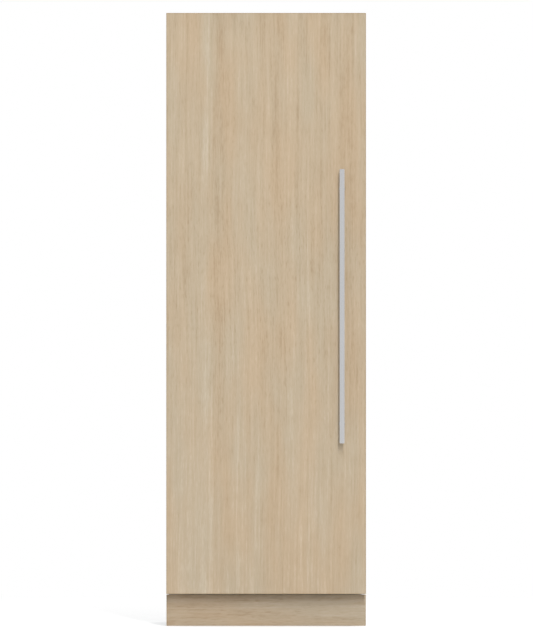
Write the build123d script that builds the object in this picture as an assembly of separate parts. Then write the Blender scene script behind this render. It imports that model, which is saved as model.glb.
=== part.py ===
"""Integrated freezer column: wood door front and plinth, foamed cabinet, drawers, shelves and cooling parts.

Millimetres. X to the right seen from the front, Y to the back, Z up from the floor. The origin is on the
floor under the middle of the whole product. Each function makes one piece, which is written to parts.
"""

import os
from math import cos, pi, radians, sin, sqrt

from build123d import *

# Whole product
front_width = 610.0             # wood door front and plinth board, the 24 inch module
toe_kick_height = 100.0
door_front_height = 1775.0
door_front_thickness = 19.0
handle_projection = 40.0        # handle face in front of the door front
door_body_depth = 50.0
gasket_depth = 12.0             # gap between door body and cabinet, filled by the gasket
cabinet_depth = 525.0           # cabinet front edge to the rear spacers
cabinet_side_gap = 6.5          # door front past the cabinet's side
cabinet_top_drop = 25.0         # cabinet top below the top edge of the door front
sheet = 1.0                     # steel skins
overrun = 2.0                   # how far every cut runs past the face it opens
round_count = 16                # sides of large round pieces
small_round_count = 12          # sides of small round pieces
tiny_round_count = 8            # sides of screw holes and thin rods
corner_steps_count = 3          # flats in a rounded corner

overall_height = toe_kick_height + door_front_height
overall_depth = handle_projection + door_front_thickness + door_body_depth + gasket_depth + cabinet_depth
y_handle = -overall_depth / 2
y_front = y_handle + handle_projection
y_skin = y_front + door_front_thickness
y_door_back = y_skin + door_body_depth
y_cabinet = y_door_back + gasket_depth
y_rear = y_cabinet + cabinet_depth
x_front = front_width / 2
x_cab = x_front - cabinet_side_gap
z_cab = toe_kick_height
z_top = overall_height - cabinet_top_drop

# Cabinet walls
side_wall = 59.5
floor_wall = 65.0
ceiling_wall = 65.0
back_wall = 55.0
liner_wall = 2.0
liner_corner = 14.0
front_flange = 28.0             # width of the steel frame round the mouth
front_ease = 0.6                # eased edges of the wood front
wrapper_bend = 3.0
condenser_zone = 25.0           # depth behind the back panel
bay_depth = 180.0               # machine bay at the lower rear
bay_height = 200.0
bay_cheek = 26.5                # foamed wall on each side of the bay
hump_wall = 55.0                # insulation between bay and compartment

x_in = x_cab - side_wall
z_in0 = z_cab + floor_wall
z_in1 = z_top - ceiling_wall
y_back = y_rear - condenser_zone
y_in = y_back - back_wall
y_bay = y_back - bay_depth
z_bay = z_cab + bay_height
x_bay = x_cab - bay_cheek
corner_share = 2 - sqrt(2)      # leg of a slanted corner as a share of the radius it stands for
y_hump = y_bay - hump_wall
z_hump = z_bay + hump_wall

# Base tray, feet and rollers
base_sheet = 2.0
base_drop = 56.0                # tray floor below the cabinet
base_inset = 6.5                # tray side inside the cabinet side
base_lip = 18.0                 # height of the tray's rear edge
vent_count = 12
vent_width = 7.0
vent_height = 30.0
vent_pitch = 20.0
foot_inset = 42.0               # foot axis inside the tray's side
foot_setback = 40.0             # front feet behind the cabinet front edge
foot_pad_radius = 22.0
foot_pad_height = 10.0
foot_pad_chamfer = 3.0
foot_stem_radius = 5.0
foot_stem_length = 76.0
foot_fit = 0.1                  # radial clearance of the stem in its socket
socket_radius = 10.0
socket_flange_radius = 20.0
socket_flange = 4.0
socket_gap = 4.0                # between pad and socket at rest
socket_top_gap = 4.0            # socket top below the cabinet floor
roller_radius = 20.0
roller_width = 18.0
roller_side_count = 24
roller_setback = 38.0           # roller axle in front of the rearmost face
roller_bore_radius = 3.1
roller_fit = 0.1
roller_edge = 2.5
roller_side_gap = 1.0
fork_sheet = 2.0
fork_width = 24.0
fork_end = 10.0
axle_head = 1.5
axle_head_radius = 5.0

z_base = z_cab - base_drop
x_base = x_cab - base_inset
foot_x = x_base - foot_inset
foot_y = y_cabinet + foot_setback
roller_y = y_rear - roller_setback
axle_radius = roller_bore_radius - roller_fit

# Plinth board
plinth_setback = 55.0           # board face behind the door front
plinth_thickness = 16.0
plinth_floor_gap = 1.5
plinth_top_gap = 3.0
clip_plate_width = 44.0
clip_plate_height = 34.0
clip_plate = 3.0
clip_arm = 12.0
clip_ring_wall = 3.5
clip_ring_height = 14.0
clip_lift = 20.0                # underside of the clip above the floor
clip_mouth_share = 0.8          # snap ring's opening as a share of the socket

y_plinth = y_front + plinth_setback
y_plinth_back = y_plinth + plinth_thickness
z_plinth = toe_kick_height - plinth_top_gap

# Door
door_top_gap = 4.0
door_bottom_lift = 18.0
pivot_inset = 20.0              # pivot axis inside the edge of the door front
pivot_setback = 22.0            # pivot axis in front of the door body's rear face
pin_radius = 4.0
pin_fit = 0.06
pin_length = 22.0
bush_radius = 9.0
bush_length = 26.0
bush_flange = 1.0
bush_flange_radius = 12.0
dyke_height = 40.0
dyke_width = 24.0
dyke_wall = 2.5
dyke_side_gap = 22.0            # dyke inside the compartment wall
dyke_top_gap = 14.0
dyke_corner = 22.0
dyke_slope = 3.0                # dyke sides lean in over their height
gasket_width = 22.0
gasket_inset = 15.5             # gasket inside the door body's edge
gasket_root_share = 0.35
gasket_neck_share = 0.5

z_door0 = z_cab + door_bottom_lift
z_door1 = z_top - door_top_gap
x_pivot = -x_front + pivot_inset
y_pivot = y_door_back - pivot_setback

# Handle
handle_section = 15.0
handle_length = 837.0
handle_centre_height = 979.0
handle_edge_inset = 73.3        # handle axis inside the right edge of the door front
handle_chamfer = 1.0
post_radius = 6.0
post_inset = 60.0               # post axis from the handle's end
post_base_radius = 9.0
post_base = 3.0

handle_x = x_front - handle_edge_inset

# Brackets between door body and wood front
panel_bracket_sheet = 2.0
panel_bracket_leg = 26.0
panel_bracket_foot = 30.0
panel_bracket_hinge_gap = 82.0  # left end beside the hinge arm
panel_bracket_low_leg = 14.0
panel_bracket_side_gap = 68.5   # right end inside the cabinet's side

# Hinges
hinge_plate = 4.0
hinge_low_plate = 5.0
hinge_width = 62.0
hinge_tail = 70.0
hinge_arm = 26.0
hinge_low_leg = 50.0
hinge_low_gap = 4.0             # low arm above the cabinet's lower edge
cover_height = 18.0
cover_wall = 1.6
cover_length = 84.0
cover_width = 74.0
cover_corner = 6.0

# Fixing bracket on top of the cabinet
fixing_sheet = 2.0
fixing_side_gap = 48.5          # right end inside the cabinet's side
fixing_foot = 32.0
fixing_web = 22.0
fixing_flange = 24.0
fixing_hinge_gap = 14.0         # left end beside the hinge cover
fixing_hole_radius = 2.6
fixing_hole_inset = 27.5        # outer holes from the strip's ends
fixing_hole_count = 4
fixing_setback = 6.0

x_fixing0 = x_pivot - hinge_arm / 2 + cover_width + fixing_hinge_gap
x_fixing1 = x_cab - fixing_side_gap
fixing_hole_pitch = (x_fixing1 - x_fixing0 - fixing_hole_inset * 2) / (fixing_hole_count - 1)

# Screw holes
screw_radius = 2.2

# Compressor and the parts round it
compressor_length = 204.0
compressor_width = 148.0
compressor_height = 166.0
shell_height_shares = (0, 0.04, 0.13, 0.74, 0.87, 0.96, 1)
shell_inset_shares = (0.2, 0.06, 0, 0, 0.1, 0.32, 0.6)
compressor_seam = 5.0
compressor_seam_height = 5.0
compressor_plate = 3.0
compressor_plate_length = 236.0
compressor_plate_width = 96.0
compressor_x = 40.0
compressor_setback = 100.0      # axis in front of the rearmost face
grommet_radius = 11.0
grommet_height = 16.0
grommet_waist_radius = 8.0
grommet_x_share = 0.43
grommet_y_share = 0.36
terminal_length = 62.0
terminal_depth = 26.0
terminal_height = 54.0
terminal_lift = 46.0
tray_length = 240.0
tray_width = 150.0
tray_height = 34.0
tray_wall = 2.0
tray_corner = 16.0
inlet_length = 52.0
inlet_depth = 26.0
inlet_height = 34.0
inlet_side_gap = 102.0          # inlet axis inside the tray's side
socket_length = 24.0
socket_height = 17.0
socket_depth = 15.0
blade_width = 2.0
blade_height = 5.0
blade_length = 12.0
blade_pitch = 7.0

inlet_x = x_base - inlet_side_gap
y_compressor = y_rear - compressor_setback
z_compressor = z_base + base_sheet + grommet_height + compressor_plate

# Condenser on the back and the pipes
condenser_tube_radius = 2.5
condenser_wire_radius = 0.8
condenser_side_gap = 42.0       # ends of the straight runs inside the bay's side
condenser_lift = 60.0           # lowest run above the machine bay
condenser_top_gap = 274.0       # highest run below the cabinet's top
condenser_bend_share = 0.47     # bend radius as a share of the pitch
condenser_pass_count = 17       # odd, so the outlet is on the right
wire_count = 26
wire_overhang = 28.0
tube_side_count = 6
wire_side_count = 4
bend_step_count = 2             # straight pieces in a quarter bend
spacer_width = 22.0
spacer_height = 26.0
pipe_radius = 3.2
pipe_bend = 16.0
spacer_slot_wall = 1.0
pipe_reach = 60.0
pipe_spread = 36.0
pipe_drop = 24.0
stub_length = 14.0              # compressor's pipe stubs
stub_wall = 1.0
return_gap = 22.0               # return pipe beside the condenser
drier_lift = 44.0               # drier's lower end above the tray floor
drier_radius = 9.0
drier_length = 96.0

y_condenser = y_back + condenser_zone / 2
condenser_width = (x_bay - condenser_side_gap) * 2
condenser_bottom = z_bay + condenser_lift
condenser_height = z_top - condenser_top_gap - condenser_bottom
condenser_pitch = condenser_height / (condenser_pass_count - 1)
condenser_bend = condenser_pitch * condenser_bend_share
cold_pipe_x = compressor_x - compressor_length / 2 - pipe_reach
return_x = condenser_width / 2 + return_gap

# Air duct cover, evaporator and fan
duct_depth = 60.0
duct_wall = 2.5
duct_gap = 0.3                  # between cover and liner
fan_radius = 52.0
fan_hub_radius = 17.0
fan_depth = 22.0
fan_height = 900.0
fan_blade_count = 7
fan_chord_share = 0.62          # blade's width as a share of its part of the circle
fan_blade_wall = 1.6
fan_front_gap = 7.0
fan_bore_radius = 1.6
fan_bore_fit = 0.1
grille_gap = 5.0                # opening radius beyond the fan
grille_ring = 2.5
grille_ring_count = 4
grille_spoke_count = 6
grille_depth = 3.0
motor_radius = 24.0
motor_arm = 8.0
outlet_count = 9
outlet_width = 26.0
outlet_height = 6.0
outlet_margin = 63.0            # outermost outlets' middles inside the wall
outlet_drop = 26.0                # outlets below the shelf over them
evaporator_side_gap = 39.0
evaporator_height = 250.0
evaporator_foot = 40.0
evaporator_fin_count = 13
evaporator_fin_wall = 2.0
evaporator_core = 12.0
evaporator_gap = 5.0

y_duct = y_in - duct_depth
z_duct = z_hump + duct_gap
outlet_pitch = (x_in - outlet_margin) * 2 / (outlet_count - 1)
evaporator_width = (x_in - evaporator_side_gap) * 2

# Drawers and runners
drawer_side_gap = 3.0           # lip beside the compartment wall
drawer_front_overlap = 4.0      # front past the tub on each side
drawer_front_wall = 3.0
drawer_wall = 2.5
drawer_draft = 6.0              # narrower at the bottom on each side
drawer_corner = 14.0
drawer_lip = 14.0
drawer_lip_thickness = 3.0
drawer_recess = 66.0            # drawer face behind the door's inner face
drawer_grip_depth = 14.0
drawer_grip_low = 54.0
drawer_grip_high = 20.0
drawer_grip_slope = 13.0
drawer_brow = 7.0
runner_clear = 0.3
runner_width = 11.0
runner_thickness = 3.0
runner_flange = 20.0
low_drawer_lift = 4.0
low_drawer_top_gap = 16.0       # rim below the step's height
low_drawer_back_gap = 8.0
drawer_lift = 8.0               # middle drawer above the step
drawer_height = 178.0
drawer_back_gap = 11.0          # tub in front of the duct cover
drawer_pitch = 200.0

drawer_half_width = x_in - drawer_side_gap - drawer_lip
drawer_front_half_width = drawer_half_width + drawer_front_overlap
y_drawer = y_door_back + drawer_recess
drawer_depth = y_duct - drawer_back_gap - y_drawer
low_drawer_depth = y_hump - low_drawer_back_gap - y_drawer
low_drawer_height = z_hump - low_drawer_top_gap - z_in0 - low_drawer_lift
y_tub = y_drawer + drawer_grip_depth + drawer_front_wall

# Shelves
shelf_glass = 4.0
shelf_gap = 1.5
shelf_front = 96.0              # front edge behind the cabinet's front edge
shelf_lift = 21.0               # lowest shelf above the top drawer's rim
top_shelf_room = 276.0          # top shelf below the controls
shelf_count = 4
shelf_nose = 12.0
shelf_nose_drop = 7.0
shelf_nose_rise = 4.0
shelf_tail = 9.0
shelf_tail_rise = 14.0
trim_wall = 2.5
shelf_slot = 7.0                # depth of glass held in each trim
ledge = 8.0
ledge_thickness = 6.0
ledge_inset = 12.0

y_shelf = y_cabinet + shelf_front
shelf_first = z_hump + drawer_lift + drawer_pitch + drawer_height + shelf_lift

# Door bins
bin_gap = 1.5
bin_depth = 88.0
bin_height = 105.0
bin_back_height = 64.0
bin_wall = 2.2
bin_corner = 20.0
bin_slope_run = 22.0
bin_first_lift = 44.0           # above the dyke's lower edge
bin_count = 4
lug_depth = 7.0
lug_width = 18.0
lug_height = 9.0
lug_setback = 22.0
lug_lift = 30.0
lug_fit = 0.4


# Controls and light under the ceiling
control_depth = 120.0
control_height = 42.0
control_wall = 2.5
control_setback = 52.0          # face behind the cabinet's front edge
control_side_gap = 2.0
control_corner = 14.0
lens_length = 220.0
lens_width = 56.0
lens_thickness = 3.0
lens_fit = 0.3
lens_flange = 4.0
lens_setback = 26.0             # lens behind the housing's face
button_width = 20.0
button_side = 13.0              # button's height
button_length = 9.0
button_proud = 2.0
button_fit = 0.2
button_travel = 1.2
button_pitch = 34.0
button_flange = 1.5
button_side_gap = 119.0         # middle button inside the compartment wall
board_thickness = 1.6
board_length = 190.0
board_height = 26.0
board_gap = 0.5                 # behind a pressed button

y_control = y_cabinet + control_setback
z_control = z_in1 - control_height
y_lens = y_control + lens_setback
button_x = x_in - button_side_gap
shelf_pitch = (z_control - top_shelf_room - shelf_first) / (shelf_count - 1)
dyke_out = x_in - dyke_side_gap
dyke_in = dyke_out - dyke_width
z_dyke0 = shelf_first + dyke_side_gap
z_dyke1 = z_in1 - dyke_top_gap
bin_half_width = dyke_in - bin_gap
bin_first = z_dyke0 + bin_first_lift
bin_pitch = shelf_pitch


def block(x0, x1, y0, y1, z0, z1):
    """Box between two corners."""
    centre = ((x0 + x1) / 2, (y0 + y1) / 2, (z0 + z1) / 2)
    return Pos(*centre) * Box(x1 - x0, y1 - y0, z1 - z0)


def disc(x, y, z0, z1, radius):
    """Upright cylinder between two heights."""
    return Pos(x, y, (z0 + z1) / 2) * Cylinder(radius, z1 - z0)


def outline(points):
    """Closed flat face through points."""
    return make_face(Polyline(*points, close=True))


def prism(x, y, z0, z1, radius, sides):
    """Upright many-sided rod between two heights, a flat to the front."""
    face = Rot(0, 0, 180 / sides) * RegularPolygon(radius, sides)
    return extrude(Pos(x, y, z0) * face, amount=z1 - z0)


def prism_y(x, z, y0, y1, radius, sides):
    """Many-sided rod along Y."""
    return Pos(x, y1, z) * Rot(90, 0, 0) * prism(0, 0, 0, y1 - y0, radius, sides)


def prism_x(y, z, x0, x1, radius, sides):
    """Many-sided rod along X."""
    return Pos(x0, y, z) * Rot(0, 90, 0) * prism(0, 0, 0, x1 - x0, radius, sides)


def around(radius, sides):
    """Radius at the corners of a many-sided hole whose flats clear a rod of the given radius."""
    return radius / cos(pi / sides)


def eased(points, radius, steps, closed=False):
    """Points of an outline or path whose square corners are rounded in straight steps."""
    stations = [Vector(*p) for p in points]
    count = len(stations)
    made = []
    for i, corner in enumerate(stations):
        if not closed and i in (0, count - 1):
            made.append(corner)
            continue
        into = (corner - stations[i - 1]).normalized()
        out = (stations[(i + 1) % count] - corner).normalized()
        centre = corner + (out - into) * radius
        for k in range(steps + 1):
            turn = radians(90 * k / steps)
            made.append(centre + (into * sin(turn) - out * cos(turn)) * radius)
    return made


def oval_points(half_x, half_y, radius):
    """Rectangle with rounded corners, as points."""
    corners = [(half_x, -half_y), (half_x, half_y), (-half_x, half_y), (-half_x, -half_y)]
    return eased(corners, radius, corner_steps_count, closed=True)


def oval(half_x, half_y, radius):
    """Rectangle with rounded corners, as a flat face."""
    return outline(oval_points(half_x, half_y, radius))


def stacked(levels):
    """Solid with flat sides through outlines one above the other, alike in their number of points."""
    sides = [outline(levels[0]).face(), outline(levels[-1]).face()]
    for low, high in zip(levels, levels[1:]):
        for i in range(len(low)):
            sides.append(outline([low[i - 1], low[i], high[i], high[i - 1]]).face())
    return Solid(Shell(sides))


def along_x(points, x0, x1):
    """Profile given as (y, z) points, carried from x0 to x1."""
    return extrude(Plane.YZ.offset(x0) * outline(points), amount=x1 - x0)


def along_y(points, y0, y1):
    """Profile given as (x, z) points, carried from y0 to y1."""
    return extrude(Plane.XZ.offset(-y0) * outline(points), amount=y0 - y1)


def mirrored(shape):
    """The piece and its mirror image across the middle plane."""
    return [shape, mirror(shape, Plane.YZ)]


def fused(solids):
    """One solid from overlapping solids."""
    first = solids[0]
    for other in solids[1:]:
        first = first + other
    return first


def tube(points, bend, radius):
    """Many-sided tube along straight runs that start along X, bent in straight steps, a flat to the front."""
    stations = eased(points, bend, bend_step_count)
    section = Rot(0, 0, 180 / tube_side_count) * RegularPolygon(radius, tube_side_count)
    start = Plane(stations[0], x_dir=(0, 1, 0), z_dir=stations[1] - stations[0])
    return sweep(start * section, path=Polyline(*stations), transition=Transition.RIGHT)


# Cabinet shell
def outer_wrapper():
    """Steel U round the sides and top, folded in at the front to frame the mouth."""
    shell = block(-x_cab, x_cab, y_cabinet, y_back, z_cab, z_top)
    bends = shell.edges().filter_by(Axis.Y).group_by(Axis.Z)[-1]
    shell = fillet(bends, wrapper_bend)
    inside = x_cab - sheet
    core = block(-inside, inside, y_cabinet + sheet, y_back + overrun, z_cab - overrun, z_top - sheet)
    mouth = x_cab - front_flange
    opening = block(-mouth, mouth, y_cabinet - overrun, y_back, z_cab - overrun, z_top - front_flange)
    return shell - core - opening


def eased_room(x, y0, y1, z0, z1, leg):
    """Room open at the front, with slanted corners at the back, floor and ceiling."""
    room = block(-x, x, y0, y1, z0, z1)
    mouth_edges = room.faces().sort_by(Axis.Y)[0].edges()
    return chamfer([e for e in room.edges() if e not in mouth_edges], leg)


def compartment(grow, y0):
    """The cold space with its step over the machine bay, grown by a wall."""
    leg = (liner_corner + grow) * corner_share
    upper = eased_room(x_in + grow, y0, y_in + grow, z_hump - grow, z_in1 + grow, leg)
    lower_top = z_hump + grow + liner_corner * 2
    lower = block(-(x_in + grow), x_in + grow, y0, y_hump + grow, z_in0 - grow, lower_top)
    back = lower.edges().filter_by(Axis.Z).group_by(Axis.Y)[-1]
    floor = lower.faces().sort_by(Axis.Z)[0].edges()
    front = floor.filter_by(Axis.X).sort_by(Axis.Y)[0]
    lower = chamfer(list(back) + [e for e in floor if e != front], leg)
    return upper + lower


def skin_space(wall, bay_wall):
    """Space inside the wrapper, less the machine bay, shrunk by a wall."""
    inside = x_cab - sheet
    space = block(-inside, inside, y_cabinet + sheet, y_back - wall, z_cab + wall, z_top - sheet)
    x = x_bay + bay_wall
    bay = block(-x, x, y_bay - bay_wall, y_back + overrun, z_cab - overrun, z_bay + bay_wall)
    return space - bay


def lower_skins():
    """Back sheet, bay walls and floor sheet before they are parted."""
    return skin_space(0, 0) - skin_space(sheet, sheet)


def rear_panel():
    cut = block(-x_cab, x_cab, y_cabinet, y_rear, z_cab - overrun, z_bay + sheet)
    return lower_skins() - cut


def bay_panel():
    cut = block(-x_cab, x_cab, y_cabinet, y_rear, z_bay + sheet, z_top)
    return lower_skins() - cut


def foam_core():
    return skin_space(sheet, sheet) - compartment(liner_wall, y_cabinet)


def shelf_heights():
    return [shelf_first + shelf_pitch * i for i in range(shelf_count)]


def inner_liner():
    """Moulded tub with its flange round the mouth and the ledges that carry the shelves."""
    shell = compartment(liner_wall, y_cabinet) - compartment(0, y_cabinet - overrun)
    edge = x_cab - front_flange
    flange = block(-edge, edge, y_cabinet, y_cabinet + sheet, z_cab, z_top - front_flange)
    shell = shell + (flange - compartment(0, y_cabinet - overrun))
    for z in shelf_heights():
        rest = block(x_in - ledge, x_in + sheet, y_shelf + ledge_inset, y_duct - ledge_inset,
                     z - ledge_thickness, z)
        shell = fused([shell] + mirrored(rest))
    return shell


# Base
def base_chassis():
    """Tray under the cabinet, open at the back of the machine bay, with air slots in its front wall."""
    tray = block(-x_base, x_base, y_cabinet, y_rear, z_base, z_cab)
    inside = x_base - base_sheet
    tray = tray - block(-inside, inside, y_cabinet + base_sheet, y_rear - base_sheet, z_base + base_sheet,
                        z_cab + overrun)
    tray = tray - block(-inside, inside, y_bay, y_rear + overrun, z_base + base_lip, z_cab + overrun)
    tray = tray - block(-x_cab, x_cab, y_back, y_rear + overrun, z_base + base_lip, z_cab + overrun)
    middle = (z_base + base_sheet + z_cab) / 2
    for i in range(vent_count):
        x = vent_pitch * (i - (vent_count - 1) / 2)
        half = vent_width / 2
        corners = [(x - half, middle - vent_height / 2), (x + half, middle - vent_height / 2),
                   (x + half, middle + vent_height / 2), (x - half, middle + vent_height / 2)]
        slot = eased(corners, vent_width / 3, 1, closed=True)
        tray = tray - along_y(slot, y_cabinet - overrun, y_cabinet + base_sheet + overrun)
    for x in (-foot_x, foot_x):
        tray = tray - prism(x, foot_y, z_base - overrun, z_base + base_sheet + overrun, socket_radius,
                            small_round_count)
    return tray


def foot_sockets():
    """Threaded sockets for the front feet, through the tray floor."""
    bore = around(foot_stem_radius + foot_fit, small_round_count)
    low = foot_pad_height + socket_gap
    high = z_cab - socket_top_gap
    solids = []
    for x in (-foot_x, foot_x):
        body = prism(x, foot_y, low, high, socket_radius, small_round_count)
        body = body + prism(x, foot_y, z_base - socket_flange, z_base, socket_flange_radius,
                            small_round_count)
        solids.append(body - prism(x, foot_y, low - overrun, high + overrun, bore, small_round_count))
    return solids


def levelling_foot(x):
    """Round foot on its stem."""
    pad = prism(x, foot_y, 0, foot_pad_height, foot_pad_radius, round_count)
    pad = chamfer(pad.faces().sort_by(Axis.Z)[-1].edges(), foot_pad_chamfer)
    top = foot_pad_height + foot_stem_length
    return pad + prism(x, foot_y, foot_pad_height, top, foot_stem_radius, small_round_count)


def roller(x):
    """Rear roller with eased tread edges and its bore."""
    half = roller_width / 2
    tread = [Vector(roller_radius, 0, 0).rotate(Axis.Z, 360 / roller_side_count * i)
             for i in range(roller_side_count)]
    wheel = along_x([(roller_y + p.Y, roller_radius - p.X) for p in tread], x - half, x + half)
    sides = wheel.faces().filter_by(Axis.X).edges()
    wheel = chamfer(sides, roller_edge)
    bore = around(roller_bore_radius, small_round_count)
    return wheel - prism_x(roller_y, roller_radius, x - half - overrun, x + half + overrun, bore,
                           small_round_count)


def roller_brackets():
    """Forks with their axles, under the rear corners of the tray."""
    half = roller_width / 2 + roller_side_gap
    solids = []
    for x in (-foot_x, foot_x):
        top = block(x - half - fork_sheet, x + half + fork_sheet, roller_y - fork_width,
                    roller_y + fork_width,
                    z_base - fork_sheet, z_base)
        fork = top
        for side in (-1, 1):
            inner = x + side * half
            outer = inner + side * fork_sheet
            x0 = min(inner, outer)
            cheek = [
                (roller_y - fork_width, z_base),
                (roller_y - fork_end, roller_radius - fork_end),
                (roller_y + fork_end, roller_radius - fork_end),
                (roller_y + fork_width, z_base),
            ]
            fork = fork + along_x(cheek, x0, x0 + fork_sheet)
        reach = half + fork_sheet
        fork = fork + prism_x(roller_y, roller_radius, x - reach, x + reach, axle_radius, small_round_count)
        for side in (-1, 1):
            x0 = x + side * reach
            x1 = x0 + side * axle_head
            fork = fork + prism_x(roller_y, roller_radius, min(x0, x1), max(x0, x1), axle_head_radius,
                                  tiny_round_count)
        solids.append(fork)
    return solids


# Plinth
def plinth_board():
    return block(-x_front, x_front, y_plinth, y_plinth_back, plinth_floor_gap, z_plinth)


def plinth_clips():
    """Snap rings on the foot sockets with an arm and a plate on the back of the board."""
    z0 = clip_lift
    z1 = z0 + clip_ring_height
    middle = (z0 + z1) / 2
    solids = []
    for x in (-foot_x, foot_x):
        ring = prism(x, foot_y, z0, z1, socket_radius + clip_ring_wall, small_round_count)
        arm = block(x - clip_arm / 2, x + clip_arm / 2, y_plinth_back, foot_y, z0, z1)
        half = clip_plate_width / 2
        plate = block(x - half, x + half, y_plinth_back, y_plinth_back + clip_plate,
                      middle - clip_plate_height / 2, middle + clip_plate_height / 2)
        clip = ring + arm + plate
        clip = clip - prism(x, foot_y, z0 - overrun, z1 + overrun, socket_radius, small_round_count)
        half = socket_radius * clip_mouth_share
        mouth = block(x - half, x + half, foot_y, foot_y + socket_radius * 2, z0 - overrun, z1 + overrun)
        solids.append(clip - mouth)
    return solids


# Hinges
def hinge_outline(x0, x1, y_tail):
    """Plate seen from above: a strap on the cabinet narrowing to a round end on the pivot."""
    strap = Pos((x0 + x1) / 2, (y_cabinet + y_tail) / 2) * Rectangle(x1 - x0, y_tail - y_cabinet)
    half = hinge_arm / 2
    arm = Pos(x_pivot, (y_pivot + y_cabinet) / 2) * Rectangle(hinge_arm, y_cabinet - y_pivot)
    end = Pos(x_pivot, y_pivot) * Rot(0, 0, 180 / round_count) * RegularPolygon(half, round_count,
                                                                                major_radius=False)
    return strap + arm + end


def hinge_screw_points(x0):
    near = hinge_width / 4
    far = hinge_width * 3 / 4
    return [(x0 + near, near), (x0 + far, near), (x0 + near, hinge_tail - near),
            (x0 + far, hinge_tail - near)]


def hinge_bracket_top():
    """Plate on the cabinet with its pin down into the door."""
    x0 = x_pivot - hinge_arm / 2
    face = hinge_outline(x0, x0 + hinge_width, y_cabinet + hinge_tail)
    plate = extrude(Pos(0, 0, z_top) * face, amount=hinge_plate)
    plate = plate + disc(x_pivot, y_pivot, z_top - pin_length, z_top, pin_radius)
    for x, y in hinge_screw_points(x0):
        plate = plate - prism(x, y_cabinet + y, z_top - overrun, z_top + hinge_plate + overrun,
                              screw_radius, tiny_round_count)
    return plate


def low_screw_points():
    x0 = x_pivot - hinge_arm / 2
    rise = hinge_low_leg / 4
    foot = z_cab + hinge_low_gap - hinge_low_leg
    xs = (x0 + hinge_width / 4, x0 + hinge_width * 3 / 4)
    return [(x, foot + rise * k) for x in xs for k in (1, 2)]


def hinge_bracket_bottom():
    """Angle on the front of the base tray with its pin up into the door."""
    z0 = z_cab + hinge_low_gap
    z1 = z0 + hinge_low_plate
    x0 = x_pivot - hinge_arm / 2
    back = y_cabinet - hinge_low_plate
    arm = Pos(x_pivot, (y_pivot + y_cabinet) / 2) * Rectangle(hinge_arm, y_cabinet - y_pivot)
    end = Rot(0, 0, 180 / round_count) * RegularPolygon(hinge_arm / 2, round_count, major_radius=False)
    face = arm + Pos(x_pivot, y_pivot) * end
    plate = extrude(Pos(0, 0, z0) * face, amount=hinge_low_plate)
    plate = plate + block(x0, x0 + hinge_width, back, y_cabinet, z0 - hinge_low_leg, z1)
    plate = plate + disc(x_pivot, y_pivot, z1, z_door0 + pin_length - door_top_gap, pin_radius)
    for x, z in low_screw_points():
        plate = plate - prism_y(x, z, back - overrun, y_cabinet + overrun, screw_radius, tiny_round_count)
    return plate


def hinge_cover():
    """Moulded cap over the top hinge plate, open in front where the arm comes out."""
    x0 = x_pivot - hinge_arm / 2
    x1 = x0 + cover_width
    y1 = y_cabinet + cover_length
    z1 = z_top + hinge_plate + cover_height
    cap = block(x0, x1, y_cabinet, y1, z_top, z1)
    cap = chamfer(cap.edges().filter_by(Axis.Z).group_by(Axis.Y)[-1], cover_corner)
    cap = chamfer(cap.faces().sort_by(Axis.Z)[-1].edges(), cover_wall)
    inner = block(x0 - overrun, x1 - cover_wall, y_cabinet - overrun, y1 - cover_wall, z_top - overrun,
                  z1 - cover_wall)
    inner = chamfer(inner.edges().filter_by(Axis.Z).group_by(Axis.Y)[-1], cover_corner)
    front = block(x0 + hinge_width, x1, y_cabinet, y_cabinet + cover_wall, z_top, z1 - cover_wall)
    side = block(x0, x0 + cover_wall, y_cabinet, y1 - cover_corner, z_top, z1 - cover_wall)
    top = z_top + hinge_plate
    strip = block(x0, x0 + hinge_width, y_cabinet, y_cabinet + cover_wall, top, z1 - cover_wall)
    raised = block(x0, x0 + cover_wall, y_cabinet, y_cabinet + hinge_tail, z_top - overrun, top)
    return (cap - inner) + front + (side - raised) + strip


def fixing_bracket():
    """Z-shaped strip that is screwed up into the furniture over the cabinet."""
    y0 = y_cabinet + fixing_setback
    web = y0 + fixing_flange
    z1 = z_top + fixing_web
    points = [
        (web, z_top),
        (web + fixing_foot, z_top),
        (web + fixing_foot, z_top + fixing_sheet),
        (web + fixing_sheet, z_top + fixing_sheet),
        (web + fixing_sheet, z1),
        (y0, z1),
        (y0, z1 - fixing_sheet),
        (web, z1 - fixing_sheet),
    ]
    strip = along_x(points, x_fixing0, x_fixing1)
    for i in range(fixing_hole_count):
        x = x_fixing0 + fixing_hole_inset + fixing_hole_pitch * i
        y = y0 + fixing_flange / 2
        strip = strip - disc(x, y, z1 - fixing_sheet - overrun, z1 + overrun, fixing_hole_radius)
        foot_y0 = web + fixing_foot / 2
        strip = strip - prism(x, foot_y0, z_top - overrun, z_top + fixing_sheet + overrun, screw_radius,
                              tiny_round_count)
    return strip


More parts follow.
